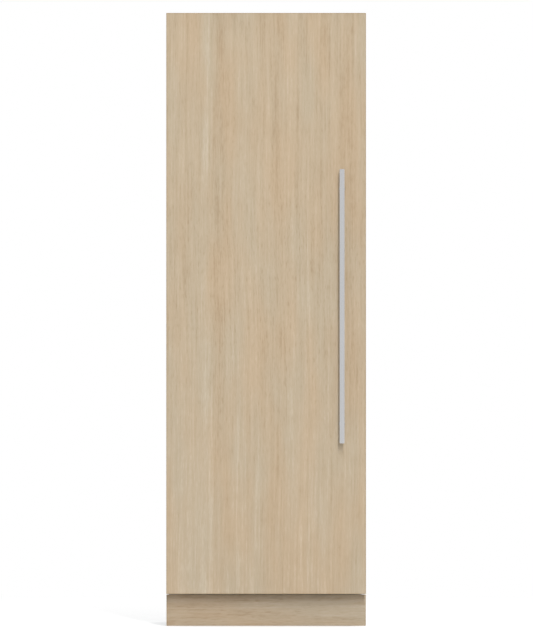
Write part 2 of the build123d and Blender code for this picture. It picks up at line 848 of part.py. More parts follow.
# Machine bay
def compressor_shell():
    """Oval welded shell on its base plate, with the seam and two pipe stubs."""
    corner = compressor_width / 2 - compressor_seam
    levels = []
    for rise, inset in zip(shell_height_shares, shell_inset_shares):
        cut = inset * compressor_width / 2
        place = Vector(compressor_x, y_compressor, z_compressor + rise * compressor_height)
        plan = oval_points(compressor_length / 2 - cut, compressor_width / 2 - cut, corner - cut)
        levels.append([place + p for p in plan])
    body = stacked(levels)
    seam_plan = oval(compressor_length / 2 + compressor_seam, compressor_width / 2 + compressor_seam,
                     compressor_width / 2)
    seam_z = z_compressor + compressor_height / 2
    body = body + extrude(Pos(compressor_x, y_compressor, seam_z) * seam_plan, amount=compressor_seam_height)
    half_x = compressor_plate_length / 2
    half_y = compressor_plate_width / 2
    plate = block(compressor_x - half_x, compressor_x + half_x, y_compressor - half_y, y_compressor + half_y,
                  z_compressor - compressor_plate, z_compressor)
    plate = chamfer(plate.edges().filter_by(Axis.Z), grommet_radius / 2)
    for x, y in grommet_points():
        under = z_compressor - compressor_plate - overrun
        plate = plate - prism(x, y, under, z_compressor + overrun, grommet_waist_radius, tiny_round_count)
    x0 = compressor_x - compressor_length / 2
    for y, z in ((pipe_spread, stub_height() - pipe_drop), (-pipe_spread, stub_height())):
        stub = prism_x(y_compressor + y, z, x0 - stub_length, x0 + compressor_seam * 2,
                       pipe_radius + stub_wall, tiny_round_count)
        body = body + stub
    return body + plate


def grommet_points():
    dx = compressor_plate_length * grommet_x_share
    dy = compressor_plate_width * grommet_y_share
    return [(compressor_x + sx * dx, y_compressor + sy * dy) for sx in (-1, 1) for sy in (-1, 1)]


def compressor_grommets():
    """Rubber mounts between the tray floor and the compressor's plate."""
    z0 = z_base + base_sheet
    z1 = z0 + grommet_height
    solids = []
    for x, y in grommet_points():
        z2 = z1 + compressor_plate
        body = prism(x, y, z0, z1, grommet_radius, tiny_round_count)
        body = body + prism(x, y, z1, z2, grommet_waist_radius, tiny_round_count)
        body = body + prism(x, y, z2, z2 + compressor_plate, grommet_radius, tiny_round_count)
        solids.append(body)
    return solids


def terminal_cover():
    """Box over the compressor's terminals, on its right end."""
    x0 = compressor_x + compressor_length / 2
    z0 = z_compressor + terminal_lift
    half = terminal_length / 2
    box = block(x0, x0 + terminal_depth, y_compressor - half, y_compressor + half,
                z0 - terminal_height / 2, z0 + terminal_height / 2)
    far = box.faces().sort_by(Axis.X)[-1].edges()
    return chamfer(far, compressor_seam)


def evaporating_tray():
    """Tray on the compressor that takes the defrost water."""
    z0 = z_compressor + compressor_height
    plan = oval(tray_length / 2, tray_width / 2, tray_corner)
    inner_plan = oval(tray_length / 2 - tray_wall, tray_width / 2 - tray_wall, tray_corner - tray_wall)
    body = extrude(Pos(compressor_x, y_compressor, z0) * plan, amount=tray_height)
    return body - extrude(Pos(compressor_x, y_compressor, z0 + tray_wall) * inner_plan, amount=tray_height)


def power_inlet():
    """Three-pole appliance inlet on the rear corner of the tray."""
    z0 = z_base + base_sheet
    half = inlet_length / 2
    y1 = y_rear - base_sheet
    body = block(inlet_x - half, inlet_x + half, y1 - inlet_depth, y1, z0, z0 + inlet_height)
    body = chamfer(body.edges().filter_by(Axis.Y).group_by(Axis.Z)[-1], base_sheet)
    middle = z0 + inlet_height / 2
    recess = block(inlet_x - socket_length / 2, inlet_x + socket_length / 2, y1 - socket_depth, y1 + overrun,
                   middle - socket_height / 2, middle + socket_height / 2)
    body = body - chamfer(recess.edges().filter_by(Axis.Y).group_by(Axis.Z)[-1], blade_height)
    for i in (-1, 0, 1):
        x = inlet_x + i * blade_pitch
        blade = block(x - blade_width / 2, x + blade_width / 2, y1 - socket_depth,
                      y1 - socket_depth + blade_length,
                      middle - blade_height / 2, middle + blade_height / 2)
        body = body + blade
    return body


# Condenser and pipes
def condenser_point(i, side):
    """End of a straight run of the condenser tube, before the bend."""
    x = side * condenser_width / 2
    return (x, y_condenser, condenser_bottom + condenser_pitch * i)


def condenser_tube():
    """One tube snaking up the back, its bends nearly as wide as the pitch allows."""
    points = [condenser_point(0, -1)]
    side = 1
    for i in range(condenser_pass_count - 1):
        points.append(condenser_point(i, side))
        points.append(condenser_point(i + 1, side))
        side = -side
    points.append(condenser_point(condenser_pass_count - 1, 1))
    return tube(points, condenser_bend, condenser_tube_radius)


def condenser_wires():
    """Straight wires welded to the front and back of the tube."""
    reach = (condenser_tube_radius * cos(pi / tube_side_count)
             + condenser_wire_radius * cos(pi / wire_side_count))
    z0 = condenser_bottom - wire_overhang
    length = condenser_height + wire_overhang * 2
    spread = condenser_width - condenser_bend * 2 - spacer_width * 3
    solids = []
    for side in (-1, 1):
        for i in range(wire_count):
            x = spread * (i / (wire_count - 1) - 1 / 2)
            section = Rot(0, 0, 180 / wire_side_count) * RegularPolygon(condenser_wire_radius,
                                                                        wire_side_count)
            solids.append(extrude(Pos(x, y_condenser + side * reach, z0) * section, amount=length))
    return solids


def condenser_spacers():
    """Moulded blocks between the back panel and the wall, each clipped on a run of the tube."""
    solids = []
    grip = condenser_tube_radius
    for x in (-1, 1):
        for i in (1, condenser_pass_count - 2):
            z = condenser_bottom + condenser_pitch * i
            centre = x * (condenser_width / 2 - condenser_bend - spacer_width / 2 - spacer_slot_wall)
            body = block(centre - spacer_width / 2, centre + spacer_width / 2, y_back, y_rear,
                         z - spacer_height / 2, z + spacer_height / 2)
            body = body - block(centre - spacer_width, centre + spacer_width,
                                y_condenser - grip - spacer_slot_wall,
                                y_condenser + grip + spacer_slot_wall, z - grip, z + grip)
            solids.append(body)
    return solids


def refrigerant_lines():
    """Hot line up to the condenser, return line down through the filter drier, and the suction line."""
    stub_x = compressor_x - compressor_length / 2 - stub_length
    hot_y = y_compressor + pipe_spread
    top = stub_height()
    start_x = -condenser_width / 2
    riser = start_x - pipe_bend * 2
    level = z_bay - pipe_bend * 2
    points = [
        (stub_x, hot_y, top - pipe_drop),
        (riser, hot_y, top - pipe_drop),
        (riser, hot_y, level),
        (riser, y_condenser, level),
        (riser, y_condenser, condenser_bottom),
        (start_x, y_condenser, condenser_bottom),
    ]
    hot = tube(points, pipe_bend, pipe_radius)
    high = condenser_bottom + condenser_height
    drier_z = z_base + base_sheet + drier_lift
    points = [
        (condenser_width / 2, y_condenser, high),
        (return_x, y_condenser, high),
        (return_x, y_condenser, drier_z - pipe_bend * 2),
        (return_x, y_bay, drier_z - pipe_bend * 2),
    ]
    back = tube(points, pipe_bend, pipe_radius)
    drier = prism(return_x, y_condenser, drier_z, drier_z + drier_length, drier_radius, tiny_round_count)
    drier = chamfer(drier.faces().filter_by(Axis.Z).edges(), drier_radius / 2)
    cold_y = y_compressor - pipe_spread
    points = [(stub_x, cold_y, top), (cold_pipe_x, cold_y, top), (cold_pipe_x, cold_y, z_bay)]
    cold = tube(points, pipe_bend, pipe_radius)
    return [hot, back + drier, cold]


def stub_height():
    return z_compressor + compressor_height / 2 - compressor_seam


# Duct cover, evaporator and fan
def duct_cover():
    """Moulded cover over the evaporator and fan, open to the back, with rows of air outlets."""
    back_half = block(-x_in, x_in, y_duct, y_in, z_hump, z_in1)
    shell = compartment(-duct_gap, y_cabinet) & back_half
    inner_half = block(-x_in, x_in, y_duct + duct_wall, y_rear, z_hump, z_in1)
    hollow = Pos(0, duct_wall + overrun, 0) * compartment(-duct_gap - duct_wall, y_cabinet)
    shell = shell - (hollow & inner_half)
    shell = shell - prism_y(0, fan_height, y_duct - overrun, y_duct + duct_wall + overrun,
                            fan_radius + grille_gap, round_count)
    for z in outlet_rows():
        for i in range(outlet_count):
            middle = outlet_pitch * (i - (outlet_count - 1) / 2)
            slot = block(middle - outlet_width / 2, middle + outlet_width / 2, y_duct - overrun,
                         y_duct + duct_wall + overrun, z - outlet_height / 2, z + outlet_height / 2)
            shell = shell - slot
    return shell


def outlet_rows():
    """Outlets just under each shelf above the fan, and under the ceiling."""
    rows = [z - outlet_drop for z in shelf_heights()[2:]]
    return rows + [z_control - outlet_drop]


def fan_grille():
    """Rings and spokes that close the cover's fan opening."""
    outer = fan_radius + grille_gap
    y0 = y_duct
    y1 = y_duct + grille_depth
    step = outer / grille_ring_count
    parts = []
    for i in range(grille_ring_count):
        radius = outer - step * i
        ring = prism_y(0, fan_height, y0, y1, radius, round_count)
        ring = ring - prism_y(0, fan_height, y0 - overrun, y1 + overrun, radius - grille_ring, round_count)
        parts.append(ring)
    spoke = block(-grille_ring / 2, grille_ring / 2, y0, y1, step - grille_ring / 2, outer - grille_ring / 2)
    for i in range(grille_spoke_count):
        turned = Rot(0, 360 / grille_spoke_count * i, 0) * spoke
        parts.append(Pos(0, 0, fan_height) * turned)
    hub = prism_y(0, fan_height, y0, y1, step - grille_ring, round_count)
    return fused(parts + [hub])


def fan_blade():
    """Hub with flat pitched blades that widen to the tip, bored for the motor's shaft."""
    y0 = y_duct + duct_wall + fan_front_gap
    y1 = y0 + fan_depth
    middle = (y0 + y1) / 2
    rotor = prism_y(0, 0, y0, y1, fan_hub_radius, fan_blade_count * 2)
    wide = 2 * pi * fan_radius / fan_blade_count * fan_chord_share
    deep = fan_depth - fan_blade_wall * 2
    chord = sqrt(wide * wide + deep * deep)
    root_radius = fan_hub_radius - fan_blade_wall
    root = chord * root_radius / fan_radius
    plate = Plane((0, middle, 0), x_dir=(wide, deep, 0), z_dir=(deep, -wide, 0))
    face = outline([(-root / 2, root_radius), (root / 2, root_radius), (chord / 2, fan_radius),
                    (-chord / 2, fan_radius)])
    blade = extrude(plate * face, amount=fan_blade_wall / 2, both=True)
    for i in range(fan_blade_count):
        rotor = rotor + Rot(0, 360 / fan_blade_count * i, 0) * blade
    rotor = rotor - prism_y(0, 0, y0 - overrun, y1 + overrun, around(fan_bore_radius, tiny_round_count),
                            tiny_round_count)
    return Pos(0, 0, fan_height) * rotor


def fan_motor():
    """Motor behind the rotor on three arms against the liner, with its shaft through the hub."""
    y0 = y_duct + duct_wall + fan_front_gap + fan_depth + fan_blade_wall
    body = prism_y(0, fan_height, y0, y_in, motor_radius, small_round_count)
    shaft_front = y_duct + duct_wall + fan_front_gap
    body = body + prism_y(0, fan_height, shaft_front, y0, fan_bore_radius - fan_bore_fit, tiny_round_count)
    for angle in (90, 210, 330):
        reach = fan_radius + motor_arm
        arm = block(0, reach, y_in - motor_arm, y_in, -motor_arm / 2, motor_arm / 2)
        body = body + Pos(0, 0, fan_height) * Rot(0, angle, 0) * arm
    return body


def evaporator_coil():
    """Finned block behind the cover, its two end plates standing against the liner."""
    half = evaporator_width / 2
    y0 = y_duct + duct_wall + evaporator_gap
    y1 = y_in - evaporator_gap
    middle = (y0 + y1) / 2
    z0 = z_duct + evaporator_foot
    face = Pos(0, middle) * Rectangle(evaporator_width, evaporator_core)
    pitch = (evaporator_width - evaporator_fin_wall) / (evaporator_fin_count - 1)
    for i in range(evaporator_fin_count):
        x = -half + evaporator_fin_wall / 2 + pitch * i
        end = y_in if i in (0, evaporator_fin_count - 1) else y1
        face = face + Pos(x, (y0 + end) / 2) * Rectangle(evaporator_fin_wall, end - y0)
    return extrude(Pos(0, 0, z0) * face, amount=evaporator_height)


# Shelves
def glass_shelves():
    x = x_in - shelf_gap
    return [block(-x, x, y_shelf, y_duct - shelf_tail, z, z + shelf_glass) for z in shelf_heights()]


def shelf_trims():
    """Nose and tail mouldings that grip each glass."""
    x = x_in - shelf_gap
    solids = []
    for z in shelf_heights():
        top = z + shelf_glass
        nose = [
            (y_shelf + shelf_slot, z - trim_wall),
            (y_shelf + shelf_slot, z),
            (y_shelf, z),
            (y_shelf, top),
            (y_shelf + shelf_slot, top),
            (y_shelf + shelf_slot, top + trim_wall),
            (y_shelf, top + shelf_nose_rise),
            (y_shelf - trim_wall * 2, top + shelf_nose_rise),
            (y_shelf - shelf_nose, z),
            (y_shelf - shelf_nose, z - shelf_nose_drop),
            (y_shelf - trim_wall, z - shelf_nose_drop),
            (y_shelf - trim_wall, z - trim_wall),
        ]
        solids.append(along_x(nose, -x, x))
        end = y_duct - shelf_tail
        tail = [
            (end - shelf_slot, z - trim_wall),
            (end + trim_wall, z - trim_wall),
            (end + trim_wall, top + shelf_tail_rise),
            (end, top + shelf_tail_rise),
            (end - trim_wall, top + trim_wall),
            (end - shelf_slot, top + trim_wall),
            (end - shelf_slot, top),
            (end, top),
            (end, z),
            (end - shelf_slot, z),
        ]
        half = x_in - ledge - shelf_gap
        solids.append(along_x(tail, -half, half))
    return solids


# Drawers
def drawer_rows():
    """Bottom, middle and top drawer: floor height, height, depth."""
    low = (z_in0 + low_drawer_lift, low_drawer_height, low_drawer_depth)
    middle = (z_hump + drawer_lift, drawer_height, drawer_depth)
    top = (z_hump + drawer_lift + drawer_pitch, drawer_height, drawer_depth)
    return [low, middle, top]


def drawer_runners():
    """Angle runners on the side walls under the drawers' lips."""
    solids = []
    for z0, height, depth in drawer_rows():
        top = z0 + height - drawer_lip_thickness - runner_clear
        angle = [
            (x_in, top),
            (x_in - runner_width, top),
            (x_in - runner_width, top - runner_thickness),
            (x_in - runner_thickness, top - runner_thickness),
            (x_in - runner_thickness, top - runner_flange),
            (x_in, top - runner_flange),
        ]
        rail = along_y(angle, y_tub, y_drawer + depth - drawer_corner)
        solids = solids + mirrored(rail)
    return solids


def tub_plan(inset, y0, y1, z):
    """Plan of a tub at one height, rounded at the back."""
    x = drawer_half_width - inset
    return Pos(0, 0, z) * outline(eased([(x, y0), (x, y1), (-x, y1), (-x, y0)], drawer_corner,
                                        corner_steps_count))


def drawer_tub(row):
    """Tub with drafted sides and back, open at the top and in front, with a lip on each side."""
    z0, height, depth = row
    y1 = y_drawer + depth
    floor = tub_plan(drawer_draft, y_tub, y1 - drawer_draft, z0)
    rim = tub_plan(0, y_tub, y1, z0 + height)
    body = loft([floor, rim], ruled=True)
    y0 = y_tub - overrun
    inner_floor = tub_plan(drawer_draft + drawer_wall, y0, y1 - drawer_draft - drawer_wall, z0 + drawer_wall)
    inner_rim = tub_plan(drawer_wall, y0, y1 - drawer_wall, z0 + height)
    body = body - loft([inner_floor, inner_rim], ruled=True)
    lip_x = drawer_half_width + drawer_lip
    z = z0 + height - drawer_lip_thickness
    lip = block(drawer_half_width - drawer_wall, lip_x, y_tub, y1 - drawer_corner, z, z0 + height)
    return fused([body] + mirrored(lip))


def drawer_front(row):
    """Moulded front with a finger groove under its brow, open to the tub behind it."""
    z0, height, depth = row
    y0 = y_drawer
    wall = drawer_front_wall
    groove = y0 + drawer_grip_depth
    low = z0 + height - drawer_grip_low
    high = z0 + height - drawer_grip_high
    top = z0 + height + drawer_brow
    face = [(y0, z0), (y0, low), (groove, low + drawer_grip_slope), (groove, high),
            (y0, high + drawer_grip_slope), (y0, top)]
    body = along_x(face + [(y_tub, top), (y_tub, z0)], -drawer_front_half_width, drawer_front_half_width)
    inner = [(y + wall, z) for y, z in face[1:5]]
    inner = [(y0 + wall, z0 + wall)] + inner + [(y0 + wall, top + overrun)]
    inner = inner + [(y_tub + overrun, top + overrun), (y_tub + overrun, z0 + wall)]
    half = drawer_front_half_width - wall
    return body - along_x(inner, -half, half)


# Controls and light
def control_housing():
    """Box under the ceiling, open at the top, with the light's window and the button holes."""
    x = x_in - control_side_gap
    y1 = y_control + control_depth
    box = block(-x, x, y_control, y1, z_control, z_in1)
    box = chamfer(box.edges().filter_by(Axis.Y).group_by(Axis.Z)[-1], control_corner * corner_share)
    box = chamfer(box.edges().filter_by(Axis.X).group_by(Axis.Z)[0].sort_by(Axis.Y)[0], control_wall)
    inner_x = x - control_wall
    hollow = block(-inner_x, inner_x, y_control + control_wall, y1 - control_wall,
                   z_control + control_wall, z_in1 + overrun)
    hollow = hollow & Pos(0, 0, -control_wall) * block(-inner_x, inner_x, y_control, y1, z_control,
                                                       z_in1 + control_wall * 2)
    box = box - hollow
    window = block(-lens_length / 2, lens_length / 2, y_lens, y_lens + lens_width, z_control - overrun,
                   z_control + control_wall + overrun)
    box = box - window
    for bx in button_places():
        box = box - key(bx, y_control - overrun, y_control + control_wall + overrun, button_fit)
    return box


def light_lens():
    """Diffuser in the housing's window, held by its flange."""
    x = lens_length / 2 - lens_fit
    y0 = y_lens + lens_fit
    y1 = y_lens + lens_width - lens_fit
    z1 = z_control + control_wall
    pane = block(-x, x, y0, y1, z_control, z1)
    grow = lens_flange + lens_fit
    return pane + block(-x - grow, x + grow, y0 - grow, y1 + grow, z1, z1 + lens_thickness)


def button_places():
    return [button_x + button_pitch * i for i in (-1, 0, 1)]


def button_height():
    return z_control + control_height / 2


def key(x, y0, y1, grow):
    """Button's body between two depths, larger by grow all round."""
    z = button_height()
    half = button_width / 2 + grow
    tall = button_side / 2 + grow
    return block(x - half, x + half, y0, y1, z - tall, z + tall)


def button(x):
    """Button with eased edges and the collar that keeps it in the housing."""
    cap = key(x, y_control - button_proud, y_control - button_proud + button_length, 0)
    cap = chamfer(cap.faces().sort_by(Axis.Y)[0].edges(), button_flange / 2)
    y0 = y_control + control_wall
    return cap + key(x, y0, y0 + button_flange, button_flange)


def control_board():
    """Circuit board standing in the housing behind the buttons."""
    y0 = y_control - button_proud + button_length + button_travel + board_gap
    z0 = z_control + control_wall
    half = board_length / 2
    return block(button_x - half, button_x + half, y0, y0 + board_thickness, z0, z0 + board_height)


# Door
def door_pan():
    """Steel pan: front skin and four sides, with holes for the hinge bushes."""
    pan = block(-x_cab, x_cab, y_skin, y_door_back, z_door0, z_door1)
    inside = x_cab - sheet
    pan = pan - block(-inside, inside, y_skin + sheet, y_door_back + overrun, z_door0 + sheet,
                      z_door1 - sheet)
    return pan - prism(x_pivot, y_pivot, z_door0 - overrun, z_door1 + overrun, bush_radius, small_round_count)


def frame_wedge(x, z0, z1, corner, grow, y0, y1):
    """Rounded or square-cornered block between two depths, each side moved out by grow at the far end."""
    faces = []
    for y, g in ((y0, 0), (y1, grow)):
        half_x = x + g
        half_z = (z1 - z0) / 2 + g
        plan = oval(half_x, half_z, corner) if corner else Rectangle(half_x * 2, half_z * 2)
        faces.append(Plane.XZ.offset(-y) * Pos(0, (z0 + z1) / 2) * plan)
    return loft(faces, ruled=True)


def dyke(inset, inner_corner):
    """Raised frame on the door's inner face round the bins, less an inset all over."""
    y0 = y_door_back - liner_wall
    y1 = y_door_back + dyke_height - inset
    slope = dyke_slope
    outer = frame_wedge(dyke_out - inset, z_dyke0 + inset, z_dyke1 - inset, dyke_corner, -slope, y0, y1)
    edge = dyke_width - inset
    hole = frame_wedge(dyke_out - edge, z_dyke0 + edge, z_dyke1 - edge, inner_corner, slope, y0, y1)
    return outer - hole


def bin_heights():
    return [bin_first + bin_pitch * i for i in range(bin_count)]


def lug(z0, side, grow, low):
    """Lug for a bin on one dyke, or the space round it down to the bin's floor."""
    middle = y_door_back + lug_setback
    top = z0 + lug_lift
    bottom = z0 - overrun if low else top - lug_height
    x0 = dyke_in - lug_depth - grow
    x1 = dyke_in + dyke_slope + dyke_wall
    half = lug_width / 2 + grow
    shape = block(x0, x1, middle - half, middle + half, bottom, top + (grow - lug_fit if low else 0))
    return shape if side > 0 else mirror(shape, Plane.YZ)


def door_liner():
    """Moulded inner face of the door with its dykes and lugs."""
    inside = x_cab - sheet
    plate = block(-inside, inside, y_door_back - liner_wall, y_door_back, z_door0 + sheet, z_door1 - sheet)
    corner = dyke_corner - dyke_slope
    face = plate + dyke(0, corner)
    for z in bin_heights():
        for side in (-1, 1):
            face = face + lug(z, side, 0, False)
    return face - dyke(dyke_wall, corner)


def door_foam():
    """Foam between the door's skins, up into the raised frame, square inside its corners."""
    inside = x_cab - sheet
    core = block(-inside, inside, y_skin + sheet, y_door_back - liner_wall, z_door0 + sheet, z_door1 - sheet)
    core = core + dyke(dyke_wall, 0)
    core = core - prism(x_pivot, y_pivot, z_door0, z_door0 + bush_length - bush_flange, bush_radius,
                        small_round_count)
    return core - prism(x_pivot, y_pivot, z_door1 - bush_length + bush_flange, z_door1, bush_radius,
                        small_round_count)


def door_bushes():
    """Flanged plugs for the hinge pins, at the top and bottom of the door."""
    solids = []
    bore = pin_radius + pin_fit
    for edge, inward in ((z_door0, 1), (z_door1, -1)):
        outer = edge - inward * bush_flange
        inner = outer + inward * bush_length
        plug = prism(x_pivot, y_pivot, min(edge, inner), max(edge, inner), bush_radius, small_round_count)
        plug = plug + prism(x_pivot, y_pivot, min(outer, edge), max(outer, edge), bush_flange_radius,
                            small_round_count)
        floor = inner - inward * (bush_length - pin_length)
        solids.append(plug - disc(x_pivot, y_pivot, min(outer - inward * overrun, floor),
                                  max(outer - inward * overrun, floor), bore))
    return solids


def door_gasket():
    """Magnetic seal: narrow root, soft neck and a flat head, mitred at the corners."""
    x = x_cab - gasket_inset - gasket_width / 2
    z0 = z_door0 + gasket_inset + gasket_width / 2
    z1 = z_door1 - gasket_inset - gasket_width / 2
    root = gasket_width * gasket_root_share / 2
    neck = gasket_width * gasket_neck_share / 2
    head = gasket_width / 2
    knee = gasket_depth * gasket_neck_share
    shoulder = gasket_depth - gasket_depth * gasket_root_share
    half = [(root, 0), (neck, knee), (head, shoulder), (head, gasket_depth)]
    points = half + [(-u, v) for u, v in reversed(half)]
    path = Polyline((0, y_door_back, z0), (x, y_door_back, z0), (x, y_door_back, z1), (-x, y_door_back, z1),
                    (-x, y_door_back, z0), (0, y_door_back, z0))
    section = Plane((0, y_door_back, z0), x_dir=(0, 0, 1),
                    z_dir=(1, 0, 0)) * outline([(u, -v) for u, v in points])
    return sweep(section, path=path, transition=Transition.RIGHT)


def door_panel():
    """Wood front with eased edges."""
    board = block(-x_front, x_front, y_front, y_skin, toe_kick_height, overall_height)
    return chamfer(board.faces().sort_by(Axis.Y)[0].edges(), front_ease)


def panel_brackets():
    """Angles from the top and bottom of the door body to the back of the wood front."""
    x0 = x_pivot + hinge_arm / 2 + panel_bracket_hinge_gap
    x1 = x_cab - panel_bracket_side_gap
    t = panel_bracket_sheet
    foot = y_skin + panel_bracket_foot
    up = z_door1 + panel_bracket_leg
    high = [(y_skin, z_door1), (foot, z_door1), (foot, z_door1 + t), (y_skin + t, z_door1 + t),
            (y_skin + t, up), (y_skin, up)]
    down = z_door0 - panel_bracket_low_leg
    low = [(y_skin, z_door0), (foot, z_door0), (foot, z_door0 - t), (y_skin + t, z_door0 - t),
           (y_skin + t, down), (y_skin, down)]
    return [along_x(high, x0, x1), along_x(low, x0, x1)]


def handle_bar():
    """Square bar with its edges eased."""
    half = handle_section / 2
    z0 = handle_centre_height - handle_length / 2
    bar = block(handle_x - half, handle_x + half, y_handle, y_handle + handle_section, z0, z0 + handle_length)
    return chamfer(bar.edges(), handle_chamfer)


def post_heights():
    reach = handle_length / 2 - post_inset
    return [handle_centre_height - reach, handle_centre_height + reach]


def handle_posts():
    """Round posts between the bar and the wood front, each with a base rose."""
    solids = []
    for z in post_heights():
        post = prism_y(handle_x, z, y_handle + handle_section, y_front, post_radius, round_count)
        solids.append(post + prism_y(handle_x, z, y_front - post_base, y_front, post_base_radius,
                                     round_count))
    return solids


def bin_plan(inset, z):
    """Plan of a door bin, square against the door and rounded towards the cabinet."""
    x = bin_half_width - inset
    y0 = y_door_back + inset
    y1 = y_door_back + bin_depth - inset
    corner = bin_corner - inset
    return Pos(0, 0, z) * outline(eased([(x, y0), (x, y1), (-x, y1), (-x, y0)], corner, corner_steps_count))


def door_bin(z0):
    """Clear tray between the dykes, pocketed over the lugs that carry it, lower at the door."""
    outer = extrude(bin_plan(0, z0), amount=bin_height)
    inner = extrude(bin_plan(bin_wall, z0 + bin_wall), amount=bin_height)
    for side in (-1, 1):
        outer = outer - lug(z0, side, lug_fit, True)
        inner = inner - lug(z0, side, lug_fit + bin_wall, True)
    body = outer - inner
    y0 = y_door_back - overrun
    y1 = y_door_back + bin_wall * 2
    low = z0 + bin_back_height
    top = z0 + bin_height + overrun
    slope = [(y0, low), (y1, low), (y1 + bin_slope_run, top), (y0, top)]
    return body - along_x(slope, -bin_half_width - overrun, bin_half_width + overrun)


def pieces():
    """Every piece by name."""
    rows = drawer_rows()
    places = button_places()
    bins = bin_heights()
    return {
        "outer_wrapper": outer_wrapper(),
        "rear_panel": rear_panel(),
        "bay_panel": bay_panel(),
        "foam_core": foam_core(),
        "inner_liner": inner_liner(),
        "base_chassis": base_chassis(),
        "foot_sockets": foot_sockets(),
        "levelling_foot_left": levelling_foot(-foot_x),
        "levelling_foot_right": levelling_foot(foot_x),
        "roller_brackets": roller_brackets(),
        "rear_roller_left": roller(-foot_x),
        "rear_roller_right": roller(foot_x),
        "plinth_board": plinth_board(),
        "plinth_clips": plinth_clips(),
        "hinge_bracket_top": hinge_bracket_top(),
        "hinge_bracket_bottom": hinge_bracket_bottom(),
        "hinge_cover": hinge_cover(),
        "fixing_bracket": fixing_bracket(),
        "compressor_shell": compressor_shell(),
        "compressor_grommets": compressor_grommets(),
        "terminal_cover": terminal_cover(),
        "evaporating_tray": evaporating_tray(),
        "power_inlet": power_inlet(),
        "condenser_tube": condenser_tube(),
        "condenser_wires": condenser_wires(),
        "condenser_spacers": condenser_spacers(),
        "refrigerant_lines": refrigerant_lines(),
        "duct_cover": duct_cover(),
        "fan_grille": fan_grille(),
        "fan_blade": fan_blade(),
        "fan_motor": fan_motor(),
        "evaporator_coil": evaporator_coil(),
        "glass_shelves": glass_shelves(),
        "shelf_trims": shelf_trims(),
        "drawer_runners": drawer_runners(),
        "drawer_tub_bottom": drawer_tub(rows[0]),
        "drawer_tub_middle": drawer_tub(rows[1]),
        "drawer_tub_top": drawer_tub(rows[2]),
        "drawer_front_bottom": drawer_front(rows[0]),
        "drawer_front_middle": drawer_front(rows[1]),
        "drawer_front_top": drawer_front(rows[2]),
        "control_housing": control_housing(),
        "light_lens": light_lens(),
        "control_board": control_board(),
        "colder_button": button(places[0]),
        "warmer_button": button(places[1]),
        "power_button": button(places[2]),
        "door_pan": door_pan(),
        "door_foam": door_foam(),
        "door_liner": door_liner(),
        "door_bushes": door_bushes(),
        "door_gasket": door_gasket(),
        "door_panel": door_panel(),
        "panel_brackets": panel_brackets(),
        "handle_bar": handle_bar(),
        "handle_posts": handle_posts(),
        "door_bin_1": door_bin(bins[0]),
        "door_bin_2": door_bin(bins[1]),
        "door_bin_3": door_bin(bins[2]),
        "door_bin_4": door_bin(bins[3]),
    }


def main():
    os.makedirs("parts", exist_ok=True)
    for name, shape in pieces().items():
        solids = shape if isinstance(shape, list) else [shape]
        export_step(Compound(children=solids), "parts/" + name + ".step")


if __name__ == "__main__":
    main()
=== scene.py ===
"""Looks of the integrated freezer column: oak front, handle, cabinet, inside and cooling parts."""
import math

import bmesh
import bpy
from mathutils import Matrix, Vector


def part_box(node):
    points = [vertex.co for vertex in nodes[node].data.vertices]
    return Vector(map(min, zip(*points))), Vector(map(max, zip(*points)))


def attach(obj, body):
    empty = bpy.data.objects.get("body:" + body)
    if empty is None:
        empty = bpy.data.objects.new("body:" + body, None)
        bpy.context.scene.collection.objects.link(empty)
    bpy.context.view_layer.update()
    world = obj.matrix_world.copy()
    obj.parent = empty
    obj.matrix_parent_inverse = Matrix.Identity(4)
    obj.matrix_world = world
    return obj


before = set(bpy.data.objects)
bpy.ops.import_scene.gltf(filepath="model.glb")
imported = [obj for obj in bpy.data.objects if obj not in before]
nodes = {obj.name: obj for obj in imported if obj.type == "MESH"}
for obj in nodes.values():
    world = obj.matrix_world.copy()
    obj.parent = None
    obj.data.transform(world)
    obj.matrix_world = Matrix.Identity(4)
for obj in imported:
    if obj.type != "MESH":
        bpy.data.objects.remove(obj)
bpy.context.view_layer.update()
MM = 0.001


# Colours and shader nodes
# In a map range, 1 and 2 are the range read and 3 and 4 the range given; in a mix, 6 and 7 are the colours
def hex_colour(code):
    """An sRGB hex value as linear light."""
    parts = [int(code[i:i + 2], 16) / 255 for i in (1, 3, 5)]
    return (*[c / 12.92 if c <= 0.04045 else ((c + 0.055) / 1.055) ** 2.4 for c in parts], 1.0)


def add(tree, kind, inputs=None, out=0, stops=None, **settings):
    """One shader node: its settings, its inputs as values or as feeding sockets, and its ramp's stops."""
    made = tree.nodes.new(kind)
    for key, value in settings.items():
        setattr(made, key, value)
    for key, value in (inputs or {}).items():
        if isinstance(value, bpy.types.NodeSocket):
            tree.links.new(value, made.inputs[key])
        else:
            made.inputs[key].default_value = value
    for position, _ in (stops or [])[2:]:
        made.color_ramp.elements.new(position)
    for i, (position, code) in enumerate(stops or []):
        made.color_ramp.elements[i].position = position
        made.color_ramp.elements[i].color = hex_colour(code)
    return made.outputs[out] if made.outputs else made


def new_material(name):
    """An empty material: the material, its tree, and the piece's own coordinates."""
    material = bpy.data.materials.new(name)
    material.use_nodes = True
    tree = material.node_tree
    tree.nodes.clear()
    return material, tree, add(tree, "ShaderNodeTexCoord", out="Object")


# Wood
# Width of one leaf of veneer, and the place of a leaf's edge counted in leaves
LEAF = 72 * MM
LEAF_START = 20.27
# Change of the figure from one leaf to the next, and how far it wanders sideways, in leaves
LEAF_CHANGE = 0.37
LEAF_WANDER = 0.3
# Growth rings on quarter-cut oak, drawn as coarse as two pixels
RING = 7 * MM
# Open pores, drawn wider than the real 0.3 mm so that they show
PORE = 3.2 * MM
# Short flecks of the rays across the grain
FLECK = 4.0 * MM
# Painted light: the wood is drawn paler towards the low end of its grain, which on the door is its foot,
# where less light bounces up from the floor; a share of the colour range a metre
PAINTED_LIGHT_DRIFT = -0.085
